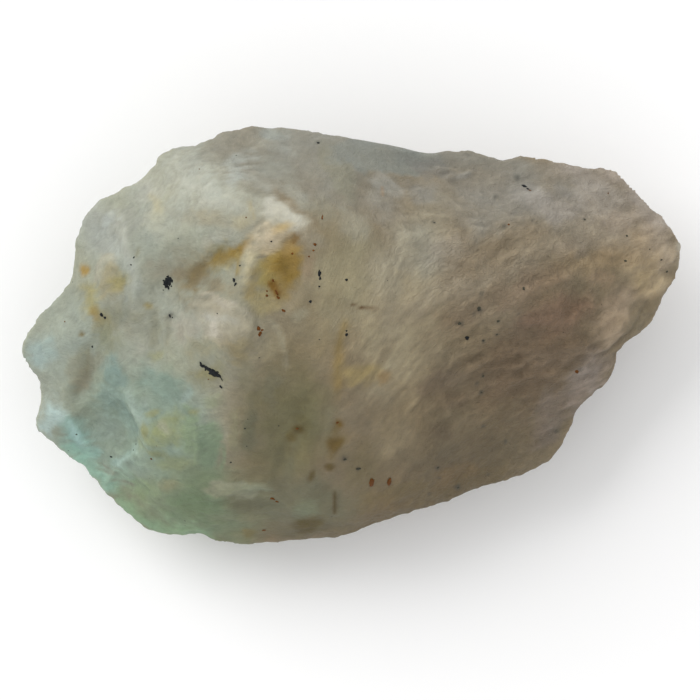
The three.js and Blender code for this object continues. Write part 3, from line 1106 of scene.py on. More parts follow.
    Vein("second brown furrow", ((-12.4, 1.8), (-12.3, 0.2), (-12.5, -0.9)), 0.25, 0.25,
         (132, 130, 111), 0.7),
    Patch("cream lobe", (-14.1, -0.7), (0.8, 1.1), 0, (154, 156, 142), 0.8),
    Patch("mustard smear", (-13.1, -1.2), (0.7, 0.6), 0, (139, 140, 108), 0.8),
    Patch("pale streaks", (-15.2, 1.6), (1.6, 0.5), 84, (130, 137, 130), 0.7),
    Patch("second pale streak", (-14.4, 3.4), (1.8, 0.4), 86, (144, 147, 135), 0.6),
    Vein("seam down the shoulder", ((-15.5, 8.6), (-15.2, 6.3), (-14.7, 4.4), (-14.8, 2.8)), 0.25, 0.35,
         (160, 161, 149), 0.6),
    Patch("olive specks", (-14.3, 5.7), (0.6, 0.25), 60, (140, 138, 112), 0.6),
    Patch("knob", (-16.2, 3.6), (1.9, 1.1), 80, (144, 137, 109), 0.9, 0.5),
    Patch("pale top of the knob", (-16.5, 5.4), (0.6, 0.5), 0, (162, 160, 142), 0.7),
    Vein("pale edge of the knob", ((-15.4, 5.0), (-16.4, 5.5), (-17.2, 4.6), (-17.1, 3.2)), 0.4, 0.15,
         (160, 157, 138), 0.8),
    Patch("mustard", (-15.6, 3.8), (1.4, 0.9), 50, (142, 133, 86), 0.85, 1.0),
    Patch("ochre dot", (-18.0, 4.4), (0.6, 0.65), 0, (148, 124, 66), 0.95),
    Vein("yellow stain", ((-17.7, 3.6), (-17.6, 2.6), (-17.3, 1.2)), 0.5, 0.6, (148, 140, 94), 0.85),
    Patch("ochre by the left speck", (-17.2, 1.5), (0.8, 0.55), -50, (138, 118, 66), 0.8),
    Patch("olive under it", (-16.5, 0.9), (1.3, 1.1), 0, (126, 118, 80), 0.85),
    Patch("mustard under it", (-16.4, 0.0), (0.9, 0.9), 0, (138, 136, 104), 0.8),
    Patch("brown spot", (-18.3, 0.3), (0.35, 0.3), 0, (116, 104, 70), 0.9),
    Patch("small ochre", (-13.8, 2.0), (0.35, 0.5), 90, (150, 138, 92), 0.9),
    Patch("shade between the knob and the nose", (-16.6, -0.4), (2.0, 1.5), 10, (122, 124, 102), 0.75, 1.0),
    # Painted shade right of the knob.
    Patch("painted shade right of the knob", (-15.5, 1.3), (1.4, 1.5), 0, (121, 123, 105), 0.85, 1.0),
    # The nose and the scoop.
    Patch("tan of the nose", (-18.5, -2.0), (1.9, 1.2), 74, (141, 142, 124), 0.8),
    Patch("bluish end of the nose", (-21.0, -1.2), (2.0, 1.5), 60, (145, 161, 155), 0.8),
    Patch("bluish edge below the nose", (-20.6, -5.0), (2.2, 1.1), 84, (146, 158, 150), 0.7),
    # Painted shade along the crease of the nose.
    Vein("painted shade along the nose crease", ((-17.75, -0.3), (-17.8, -1.6), (-18.1, -3.0), (-18.7, -4.4)), 0.1, 0.6,
         (124, 124, 102), 0.75),
    # Tan, darkened as painted shade at the foot of the crease.
    Patch("tan and painted shade at the foot of the crease", (-18.3, -3.1), (1.3, 0.8), 60, (132, 130, 112), 0.7, 1.0),
    Vein("brown shade of the cheek", ((-17.5, -0.8), (-17.8, -2.2), (-18.4, -3.6)), 0.7, 0.3,
         (122, 120, 101), 0.75),
    Vein("thin line of the crease", ((-17.75, -0.4), (-17.75, -1.5), (-17.9, -2.6)), 0.08, 0.12,
         (118, 116, 92), 0.5),
    Patch("blue-grey by the nose", (-16.1, -2.7), (2.1, 1.4), 80, (118, 139, 131), 0.85),
    Patch("grey-tan of the scoop", (-16.7, -6.0), (2.1, 1.6), -40, (138, 151, 138), 0.8),
    Patch("teal above the scoop", (-16.6, -4.2), (1.9, 1.2), -30, (132, 151, 141), 0.8),
    Vein("teal shadow in the scoop", ((-15.9, -3.2), (-15.3, -4.6), (-14.7, -5.7), (-14.3, -7.0)),
         0.1, 0.8, (128, 147, 136), 0.7),
    # Painted highlight along the lit edge of the scoop.
    Vein("painted highlight on the edge of the scoop", ((-15.4, -3.2), (-14.9, -4.5), (-14.2, -5.7), (-13.9, -6.8)),
         0.6, 0.15, (144, 158, 146), 0.7),
    Patch("pale corner below the nose", (-20.4, -5.6), (1.8, 1.3), 60, (164, 182, 176), 0.8),
    Vein("aqua strip", ((-19.3, -5.2), (-18.6, -6.8), (-17.4, -8.6)), 0.8, 0.6, (132, 162, 152), 0.85),
    Vein("pale aqua line", ((-19.2, -5.4), (-18.7, -6.6), (-18.2, -7.6)), 0.22, 0.25, (152, 178, 172), 0.7),
    Vein("teal edge", ((-19.6, -6.8), (-17.8, -9.2), (-15.8, -11.2)), 0.9, 0.6, (138, 174, 156), 0.8),
    Vein("green edge", ((-16.6, -10.4), (-15.0, -12.2), (-12.6, -13.4), (-9.0, -13.8)), 1.0, 0.6,
         (130, 158, 126), 0.75),
    Patch("aqua cloud below the crease", (-15.3, -9.6), (1.8, 1.1), -46, (142, 164, 144), 0.85),
    Vein("pale crease", ((-14.0, -6.9), (-15.2, -8.0), (-16.4, -8.9)), 0.45, 0.2, (148, 168, 156), 0.9),
    # The teal and green lower left.
    Patch("yellow tinge by the long streak", (-9.4, -2.6), (1.6, 1.2), 0, (130, 124, 86), 0.85, 1.0),
    Patch("tan right of the lobe", (-7.2, -0.6), (1.5, 1.5), 0, (132, 123, 94), 0.75, 1.0),
    Patch("light right of the lobe", (-5.2, -0.8), (1.3, 1.1), 0, (146, 139, 113), 0.5),
    Patch("tan under the lobe", (-10.1, -0.9), (2.4, 1.1), 0, (140, 136, 110), 0.8, 1.0),
    Patch("teal cloud", (-12.8, -3.3), (2.8, 1.6), -14, (119, 137, 124), 0.8),
    Patch("deeper teal", (-12.4, -2.9), (1.0, 0.5), -30, (112, 130, 118), 0.6),
    Patch("pale fleck in the teal", (-11.0, -4.0), (0.8, 0.5), 60, (140, 154, 143), 0.8),
    Patch("pale teal above the edge", (-14.0, -4.4), (1.0, 0.7), -60, (140, 153, 140), 0.7),
    Patch("pale green box", (-9.3, -4.3), (1.1, 0.8), 0, (137, 142, 116), 0.85),
    Patch("green-yellow beyond it", (-10.9, -6.4), (2.2, 1.2), 88, (117, 132, 98), 0.7),
    Patch("yellow cushion", (-12.9, -6.4), (2.1, 1.5), 46, (133, 139, 98), 0.9),
    Patch("pinkish heart of the cushion", (-12.6, -6.2), (0.9, 0.5), -50, (145, 147, 126), 0.8),
    Patch("ochre edge of the cushion", (-13.4, -5.2), (0.9, 0.35), 20, (134, 134, 90), 0.7),
    Patch("ochre side of the cushion", (-13.9, -6.5), (0.9, 0.35), 100, (130, 132, 90), 0.7),
    Patch("ochre foot of the cushion", (-13.0, -7.9), (1.0, 0.35), -10, (122, 126, 88), 0.6),
    Patch("ochre fleck beyond it", (-10.6, -5.1), (0.7, 0.3), 20, (134, 133, 92), 0.7),
    Patch("teal below the cushion", (-12.0, -8.6), (1.4, 0.8), 0, (118, 134, 112), 0.6),
    Patch("green face", (-9.6, -7.4), (2.3, 1.15), 88, (116, 133, 107), 0.9, 0.45),
    Vein("left edge of the green face", ((-10.5, -5.6), (-10.45, -7.4), (-10.5, -9.2)), 0.12, 0.12,
         (132, 148, 118), 0.7),
    Vein("right edge of the green face", ((-8.6, -7.0), (-8.5, -8.2), (-8.8, -9.2)), 0.12, 0.14,
         (124, 142, 112), 0.7),
    Patch("tan-pink patch", (-12.3, -9.9), (1.1, 0.7), 0, (131, 131, 100), 0.8),
    Patch("yellow-green below the cushion", (-12.2, -8.6), (2.0, 0.9), 0, (124, 130, 96), 0.7),
    Patch("olive at the bottom", (-14.2, -10.4), (1.8, 1.2), -40, (127, 142, 106), 0.7),
    Patch("bright green", (-10.6, -11.4), (2.6, 1.4), 0, (108, 127, 97), 0.8),
    Patch("tan beside the green face", (-7.7, -6.6), (2.2, 0.7), 88, (129, 127, 101), 0.8),
    Patch("purple-grey streak", (-6.7, -6.2), (2.4, 0.6), 84, (103, 103, 81), 0.8),
    Patch("tan at the top of the crest", (-6.8, -2.6), (1.8, 0.8), 86, (126, 122, 98), 0.6),
    Patch("pink shelf", (-8.0, -10.5), (1.9, 0.85), -4, (138, 140, 119), 0.9, 0.3),
    Vein("pale edge of the shelf", ((-9.4, -11.0), (-8.0, -10.7), (-6.2, -10.4), (-5.0, -10.5)), 0.4,
         0.08, (136, 140, 115), 0.85),
    # Purple-grey, with painted shadow under the lip of the shelf.
    Patch("purple-grey and painted shadow below the shelf", (-6.4, -11.5), (2.2, 0.8), 2, (105, 104, 82), 0.9, 0.6),
    Patch("aqua patch", (-3.2, -11.8), (1.2, 0.9), 20, (116, 122, 98), 0.8),
    # The middle, below the white lobe.
    Patch("brown mottle", (-3.6, -5.4), (2.2, 0.6), 78, (94, 89, 64), 0.6),
    Patch("second brown mottle", (-4.9, -8.4), (2.6, 0.5), 76, (98, 95, 70), 0.6),
    Patch("grey mottle", (-5.2, -3.4), (2.2, 0.7), 86, (112, 110, 90), 0.6),
    Vein("pale streak", ((-1.4, -4.4), (-1.6, -6.2), (-2.1, -8.6)), 0.3, 0.3, (122, 116, 90), 0.7),
    Vein("second pale streak", ((-3.0, -4.8), (-3.9, -7.6), (-4.4, -10.2)), 0.3, 0.3, (110, 108, 84), 0.6),
    Vein("light column", ((5.0, 4.4), (4.4, 1.4), (3.6, -0.6), (2.8, -5.2)), 1.8, 2.0,
         (166, 154, 125), 0.75),
    Patch("tan left of the column", (-1.8, -0.4), (2.2, 0.9), 88, (134, 122, 92), 0.5, 1.0),
    Patch("light left of the column", (1.4, -0.2), (2.2, 1.2), 88, (163, 151, 121), 0.7),
    Vein("ochre streak", ((-0.1, 1.5), (-0.6, -0.1), (-0.8, -2.0), (-1.0, -4.6)), 0.35, 0.35,
         (134, 114, 66), 0.7),
    Patch("yellow patch", (0.5, -2.6), (2.1, 1.2), 10, (150, 134, 90), 0.8, 1.0),
    Patch("orange beside it", (2.3, -2.7), (0.9, 0.6), 10, (150, 125, 84), 0.8),
    Patch("bluish patch below it", (1.0, -5.8), (1.5, 1.1), 20, (120, 110, 90), 0.6),
    Patch("ochre spot", (-0.8, -5.9), (0.5, 0.5), 0, (112, 84, 18), 0.95),
    Patch("haze of the ochre patch", (-1.1, -7.0), (1.7, 0.9), 76, (112, 97, 56), 0.8, 1.0),
    Patch("ochre patch", (-1.1, -7.2), (1.1, 0.6), 72, (96, 76, 28), 0.75),
    Patch("lower ochre spot", (-1.3, -8.8), (0.5, 0.5), 0, (90, 74, 30), 0.9),
    Patch("olive haze", (-3.5, -5.9), (2.2, 1.0), 80, (97, 90, 56), 0.75, 1.0),
    Patch("ochre left of it", (-3.6, -6.3), (0.6, 0.45), 0, (80, 64, 18), 0.9),
    Patch("ochre ring", (-4.2, -6.8), (0.6, 0.5), 0, (96, 84, 44), 0.8),
    Patch("ochre low left", (-2.7, -9.5), (0.7, 0.35), 66, (84, 70, 28), 0.85),
    Patch("dark foot at the bottom", (-3.4, -13.2), (3.4, 0.9), 4, (94, 89, 63), 0.5),
    Patch("ochre at the bottom", (-3.0, -12.8), (1.5, 0.8), 4, (84, 72, 30), 0.85),
    Patch("ochre at the bottom left", (-6.9, -13.2), (0.7, 0.5), 0, (120, 108, 66), 0.7),
    Vein("brown thread", ((-1.1, -10.3), (-1.15, -12.2)), 0.16, 0.16, (76, 62, 30), 0.9),
    Vein("brown dash", ((-0.2, 2.2), (0.8, 1.85), (2.0, 1.75)), 0.1, 0.07, (84, 58, 26), 1.0),
    # The right side.
    # Painted light along the diagonal arris, on the face that turns up towards the light.
    Vein("painted light along the diagonal arris", ((2.6, 0.2), (4.4, 1.6), (5.9, 2.7), (9.1, 3.8), (11.4, 4.8), (14.2, 6.5),
                             (17.4, 8.4)), 0.9, 0.6, (145, 134, 114), 0.6),
    # Painted shade under the diagonal arris, where the face turns down and away from the light.
    Vein("painted shade under the diagonal arris", ((4.4, 0.2), (8.0, 1.8), (12.0, 3.4), (16.5, 4.8)), 0.7, 0.9,
         (123, 107, 86), 0.6),
    Patch("pale upper end", (16.6, 9.4), (3.2, 1.2), -30, (166, 158, 146), 0.8),
    # Painted sheen below the grey facet.
    Patch("painted sheen below the facet", (2.3, 8.9), (2.2, 1.9), -20, (150, 149, 140), 0.5, 1.0),
    Patch("light below the facet end", (5.0, 9.6), (1.8, 1.0), -10, (140, 140, 134), 0.5),
    Patch("light upper right", (8.8, 7.6), (2.4, 1.5), -10, (148, 144, 132), 0.4, 1.0),
    Patch("light along the upper right edge", (13.6, 9.0), (3.2, 1.6), -14, (152, 146, 138), 0.6),
    Patch("light above the warm right", (14.9, 6.0), (1.8, 1.0), 10, (158, 145, 126), 0.5),
    Patch("warm right", (17.6, 5.4), (4.2, 1.5), 14, (144, 126, 97), 0.8),
    Patch("pale tip", (21.2, 6.0), (2.8, 1.6), 76, (170, 154, 131), 0.85),
    Patch("amber", (19.8, 4.0), (2.8, 1.6), 56, (158, 140, 106), 0.8, 1.0),
    Patch("dusky middle right", (13.4, 1.2), (4.4, 1.8), 16, (121, 99, 80), 0.8),
    Patch("light band", (14.4, -1.6), (4.2, 1.1), 12, (124, 109, 90), 0.7),
    Patch("light lower right edge", (14.0, -4.6), (2.8, 1.5), 44, (130, 118, 104), 0.8),
    Patch("lavender hollow", (5.8, -6.6), (1.5, 0.8), 14, (106, 93, 74), 0.6),
    Patch("lavender band", (5.8, -3.4), (2.6, 1.2), 14, (110, 96, 78), 0.7),
    Patch("light fold", (3.2, -5.2), (4.2, 1.5), 74, (142, 128, 100), 0.75),
    Patch("olive-tan foot", (0.8, -8.8), (2.4, 3.0), 0, (110, 101, 74), 0.7, 1.0),
    Patch("light foot", (3.2, -10.6), (3.4, 0.9), 12, (116, 103, 72), 0.6),
    Vein("dark lower edge", ((-4.0, -13.9), (1.0, -13.5), (4.6, -12.6), (8.0, -11.2), (12.0, -9.6)),
         0.9, 1.0, (92, 80, 52), 0.55),
    Patch("light right edge", (17.8, 1.4), (3.0, 2.0), 60, (160, 143, 121), 0.8),
    Patch("grey right rim", (16.3, -3.2), (3.4, 1.5), 58, (146, 135, 125), 0.8),
    Patch("light below the upper end", (17.0, 6.9), (3.6, 1.5), -16, (158, 147, 128), 0.6),
    Patch("light upper middle", (6.8, 5.8), (2.6, 1.4), 10, (156, 148, 132), 0.7),
    Patch("rose of the right", (12.0, 3.0), (4.0, 2.0), 16, (131, 112, 91), 0.5),
    # Painted shade above the lower right.
    Patch("painted shade above the lower right", (6.8, -4.4), (1.6, 1.2), 20, (104, 90, 72), 0.6),
    Vein("warm lower right edge", ((-1.0, -12.8), (3.4, -11.6), (8.0, -9.6), (11.0, -8.4)), 0.8, 1.0,
         (108, 92, 62), 0.6),
    Patch("light foot of the thin end", (21.2, 3.2), (1.5, 1.2), 60, (186, 166, 132), 0.7),
    Patch("light corner of the thin end", (18.8, 7.8), (1.8, 1.2), 0, (166, 152, 134), 0.6),
    Patch("warm above the lower right edge", (6.9, -9.2), (2.4, 1.2), 20, (124, 104, 74), 0.7),
    Patch("light lower corner", (13.2, -6.6), (1.8, 1.2), 40, (128, 117, 106), 0.6),
    Patch("warm fleck of the thin end", (16.9, 3.9), (1.3, 0.9), 20, (154, 132, 106), 0.5),
    Vein("mauve upper edge of the end", ((12.5, 11.9), (17.5, 11.4), (20.2, 9.2), (22.2, 6.8)), 0.8, 1.1,
         (158, 149, 139), 0.8),
    Vein("thin pale end", ((22.4, 6.6), (22.7, 5.6), (22.6, 4.4)), 0.2, 0.3, (178, 172, 156), 0.8),
)

BLURRED_SPECKS = (
    (-12.1, 1.3, 0.4),
    (8.6, 1.8, 0.34), (8.2, 1.5, 0.22), (7.4, 0.9, 0.3), (7.0, 0.9, 0.2), (9.9, 1.0, 0.2), (9.8, 0.1, 0.18),
    (8.9, -0.3, 0.24), (11.2, 1.5, 0.16), (8.9, -2.7, 0.3), (8.5, -3.2, 0.24), (8.8, -3.8, 0.26),
    (9.8, 9.4, 0.28), (11.3, 10.7, 0.34), (10.2, 7.3, 0.3), (0.5, -8.9, 0.24), (-0.4, -8.3, 0.34),
    (5.9, -8.9, 0.3), (7.3, -10.3, 0.3), (5.4, -10.7, 0.26), (9.3, -9.4, 0.26), (8.9, -6.1, 0.2),
    (10.5, -7.1, 0.24), (6.0, -9.6, 0.26), (8.8, 2.9, 0.22), (15.6, -2.3, 0.2), (14.0, -6.4, 0.22),
    (12.2, 7.8, 0.14), (15.8, 7.9, 0.14), (-2.2, 13.0, 0.2), (5.6, 7.6, 0.16),
)

SPECK = (70, 70, 62)
PALE_CLOUDS = (196, 196, 184)
OCHRE_STAINS = (150, 118, 66)


class Wire:
    """A node's output, on which arithmetic adds Math nodes."""

    def __init__(self, shader: "Shader", socket: bpy.types.NodeSocket | None) -> None:
        """Wraps a socket.

        Args:
            shader: The shader that the socket belongs to.
            socket: The output socket, or None for the node that ends a shader.
        """
        self.shader = shader
        self.socket = socket

    def math(self, operation: str, *others: "Wire | float") -> "Wire":
        """Returns the outcome of a Math node on this wire and others."""
        inputs = dict(enumerate((self, *others)))
        return self.shader.node("ShaderNodeMath", {"operation": operation}, inputs)

    def __add__(self, other: "Wire | float") -> "Wire":
        """Returns the sum."""
        return self.math("ADD", other)

    def __sub__(self, other: "Wire | float") -> "Wire":
        """Returns the difference."""
        return self.math("SUBTRACT", other)

    def __mul__(self, other: "Wire | float") -> "Wire":
        """Returns the product."""
        return self.math("MULTIPLY", other)

    def __rsub__(self, other: float) -> "Wire":
        """Returns a number less this wire."""
        return self.shader.node("ShaderNodeMath", {"operation": "SUBTRACT"}, {0: other, 1: self})

    def __abs__(self) -> "Wire":
        """Returns the size of the value, without its sign."""
        return self.math("ABSOLUTE")

    __radd__ = __add__
    __rmul__ = __mul__

    def smooth(self, low: float, high: float) -> "Wire":
        """Returns a smooth rise from 0 at low to 1 at high; low may be the larger."""
        return self.shader.node("ShaderNodeMapRange", {"interpolation_type": "SMOOTHSTEP"},
                                {"Value": self, "From Min": low, "From Max": high})


class Shader:
    """One material's nodes."""

    def __init__(self, name: str) -> None:
        """Starts an empty material.

        Args:
            name: The material's name.
        """
        self.material = bpy.data.materials.new(name)
        self.material.use_nodes = True
        self._tree = self.material.node_tree
        self._tree.nodes.clear()

    def node(self, kind: str, settings: dict | None = None, inputs: dict | None = None,
             output: int | str = 0) -> Wire:
        """Adds a node.

        Args:
            kind: The node's type.
            settings: What is set on the node itself, before its sockets.
            inputs: Values or wires, by the name or number of their sockets.
            output: The name or number of the socket that the wire comes from.

        Returns:
            The node's output.
        """
        made = self._tree.nodes.new(kind)
        for key, value in (settings or {}).items():
            setattr(made, key, value)
        for key, value in (inputs or {}).items():
            if isinstance(value, Wire):
                self._tree.links.new(value.socket, made.inputs[key])
            else:
                made.inputs[key].default_value = value
        return Wire(self, made.outputs[output] if made.outputs else None)

    def place(self) -> Wire:
        """Returns each point's place on the piece, in millimetres."""
        return self.scaled(self.node("ShaderNodeTexCoord", output="Object"), 1 / MM)

    def attribute(self, name: str, output: str) -> Wire:
        """Returns what the mesh holds under a name, as a Color or a Vector."""
        return self.node("ShaderNodeAttribute", {"attribute_name": name}, output=output)

    def axis(self, place: Wire, name: str) -> Wire:
        """Returns one part of a vector, X, Y or Z."""
        return self.node("ShaderNodeSeparateXYZ", None, {"Vector": place}, name)

    def noise(self, place: Wire, scale: float, detail: float = 2.0, roughness: float = 0.5,
              output: str = "Fac") -> Wire:
        """Returns noise whose features are about 1 / scale wide."""
        return self.node("ShaderNodeTexNoise", None,
                         {"Vector": place, "Scale": scale, "Detail": detail, "Roughness": roughness}, output)

    def streaks(self, place: Wire, tightness: Sequence[float], detail: float,
                roughness: float = 0.5) -> Wire:
        """Returns noise that is drawn out, because each axis has a tightness of its own."""
        drawn_out = self.vector("MULTIPLY", place, tightness)
        return self.noise(drawn_out, 1.0, detail, roughness)

    def swayed(self, place: Wire, scale: float, detail: float, reach: float, start: Wire) -> Wire:
        """Sways a vector.

        Args:
            place: Where the sway is worked out.
            scale: How tight the sway is.
            detail: How many finer layers it has.
            reach: How far it goes.
            start: The vector that is swayed.

        Returns:
            The swayed vector.
        """
        sway = self.scaled(self.noise(place, scale, detail, output="Color"), reach)
        return self.vector("ADD", start, sway)

    def vector(self, operation: str, first: Wire, second: "Wire | Sequence[float]") -> Wire:
        """Returns the outcome of a Vector Math node."""
        return self.node("ShaderNodeVectorMath", {"operation": operation}, {0: first, 1: second})

    def scaled(self, first: Wire, scale: float) -> Wire:
        """Returns a vector made longer."""
        return self.node("ShaderNodeVectorMath", {"operation": "SCALE"}, {0: first, "Scale": scale})

    def mix(self, first: "Wire | Colour", second: "Wire | Colour", share: "Wire | float",
            blend: str = "MIX") -> Wire:
        """Returns a colour between two others."""
        ends = [end if isinstance(end, Wire) else (*end, 1) for end in (first, second)]
        return self.node("ShaderNodeMix", {"data_type": "RGBA", "blend_type": blend},
                         {0: share, 6: ends[0], 7: ends[1]}, 2)

    def grey(self, value: Wire) -> Wire:
        """Turns a value into a colour of three equal parts."""
        return self.node("ShaderNodeCombineXYZ", None, {"X": value, "Y": value, "Z": value})

    def close(self, bsdf: Wire) -> bpy.types.Material:
        """Ends the shader with its surface and returns the material."""
        self.node("ShaderNodeOutputMaterial", None, {"Surface": bsdf})
        return self.material


@dataclass(frozen=True)
class MilkyOpal:
    """The stone's finish: milky, waxy and a little translucent.

    Attributes:
        mottle: How strong the fine mottling is.
        fibre: How strong the fine fibres are.
        stroke: How strong the fine curved strokes of the left side are.
        crinkle: How much lighter the thin crests of the right side are.
        crest: How wide those crests are, as a share of the noise that they follow.
        right: Where the strokes of the left begin to give way to fibres, and where they end.
        relief: How far the finest unevenness stands out, in millimetres.
        waxiness: The roughness of the surface.
        milkiness: How much of the light is scattered below the surface.
        depth: How deep it goes, in millimetres.
    """

    mottle: float = 0.35
    fibre: float = 0.4
    stroke: float = 0.25
    crinkle: float = 0.07
    crest: float = 0.07
    right: Plan = (-7.0, 7.0)
    relief: float = 0.2
    waxiness: float = 0.62
    milkiness: float = 0.25
    depth: float = 0.5

    COLOURS = "body_colour"

    def _fibres(self, shader: Shader, place: Wire) -> Wire:
        """Makes the finest strands, which follow the stone's fibres.

        Args:
            shader: The material's nodes.
            place: Each point's place on the stone.

        Returns:
            How light they are, from about 0 to 1.
        """
        course = shader.attribute(Fibres.COURSE, "Vector")
        swayed = shader.swayed(place, scale=1.1, detail=3, reach=0.35, start=course)
        strands = shader.streaks(swayed, (2.8, 1.1, 1.8), detail=4, roughness=0.72)
        threads = shader.streaks(swayed, (6.0, 0.9, 3.0), detail=2)
        pale_threads = threads.smooth(0.5, 0.72) - 0.2
        return 0.85 * strands + 0.15 * threads + 0.12 * pale_threads

    def _crinkles(self, shader: Shader, place: Wire) -> Wire:
        """Makes the thin crinkled crests of the right side.

        Args:
            shader: The material's nodes.
            place: Each point's place on the stone.

        Returns:
            1 on a crest and 0 beside it.
        """
        course = shader.attribute(Fibres.COURSE, "Vector")
        swayed = shader.swayed(place, scale=1.6, detail=4, reach=0.55, start=course)
        folds = shader.streaks(swayed, (2.1, 0.6, 1.3), detail=3, roughness=0.58)
        across, up = shader.axis(place, "X"), shader.axis(place, "Y")
        spread = across.smooth(2, 9) * across.smooth(20, 14) * up.smooth(9, 5)
        return abs(folds - 0.5).smooth(self.crest, 0.0) * spread

    def _strokes(self, shader: Shader, place: Wire) -> Wire:
        """Returns fine strokes that curl over the left side."""
        curled = shader.swayed(place, scale=0.35, detail=1, reach=5.0, start=place)
        return shader.streaks(curled, (1.1, 3.6, 3.6), detail=4, roughness=0.62)

    def make(self) -> bpy.types.Material:
        """Builds the material.

        Returns:
            The finished material.
        """
        shader = Shader("milky_opal")
        place = shader.place()
        right = shader.axis(place, "X").smooth(*self.right)
        crumb = shader.noise(place, 3.2, 5, roughness=0.7) - 0.5
        fibres = (self._fibres(shader, place) - 0.5) * right
        strokes = (self._strokes(shader, place) - 0.5) * (1 - right)
        crinkles = self._crinkles(shader, place)
        shade = (1 + crumb * self.mottle + fibres * self.fibre + strokes * self.stroke
                 + crinkles * self.crinkle)
        dust = shader.noise(place, 8.0, 3)
        height = crumb * 0.7 + dust * 0.2 + fibres * 2.3 + strokes * 0.6 + crinkles * 0.8
        relief = {"Strength": 0.7, "Distance": self.relief * MM, "Height": height}
        bsdf = shader.node("ShaderNodeBsdfPrincipled", None, {
            "Base Color": shader.mix(shader.attribute(self.COLOURS, "Color"), shader.grey(shade), 1.0,
                                     "MULTIPLY"),
            "Roughness": self.waxiness + crumb * 0.25,
            "IOR": 1.45,
            "Specular IOR Level": 0.35,
            "Subsurface Weight": self.milkiness,
            "Subsurface Radius": (1.0, 0.9, 0.75),
            "Subsurface Scale": self.depth * MM,
            "Normal": shader.node("ShaderNodeBump", None, relief, "Normal"),
        })
        return shader.close(bsdf)


@dataclass(frozen=True)
class Shading:
    """How far the body colour follows the grain of the stone, and the painted shade and painted highlights
    that follow its shape.

    Attributes:
        clouds: How much the soft clouds lighten and darken it.
        warmth: How far the broad stains shift its red, green and blue parts.
        strands: How much lighter the strands are.
        strokes: How much lighter the strokes are.
        steep: How much the painted shade darkens the steep sides.
        crests: How much lighter fine crests are, and darker fine dips, on the left, and how much more on the
            right; painted highlights and painted shade.
        crest: How high a fine crest is, in millimetres.
        folds: How much lighter the broad folds are, and darker the broad hollows; painted highlights and
            painted shade.
        fold: How high a broad fold is.
    """

    clouds: float = 0.12
    warmth: Colour = (0.05, 0.0, -0.07)
    strands: float = 0.1
    strokes: float = 0.08
    steep: float = 0.2
    crests: tuple[float, float] = (0.06, 0.06)
    crest: float = 0.03
    folds: float = 0.05
    fold: float = 0.15


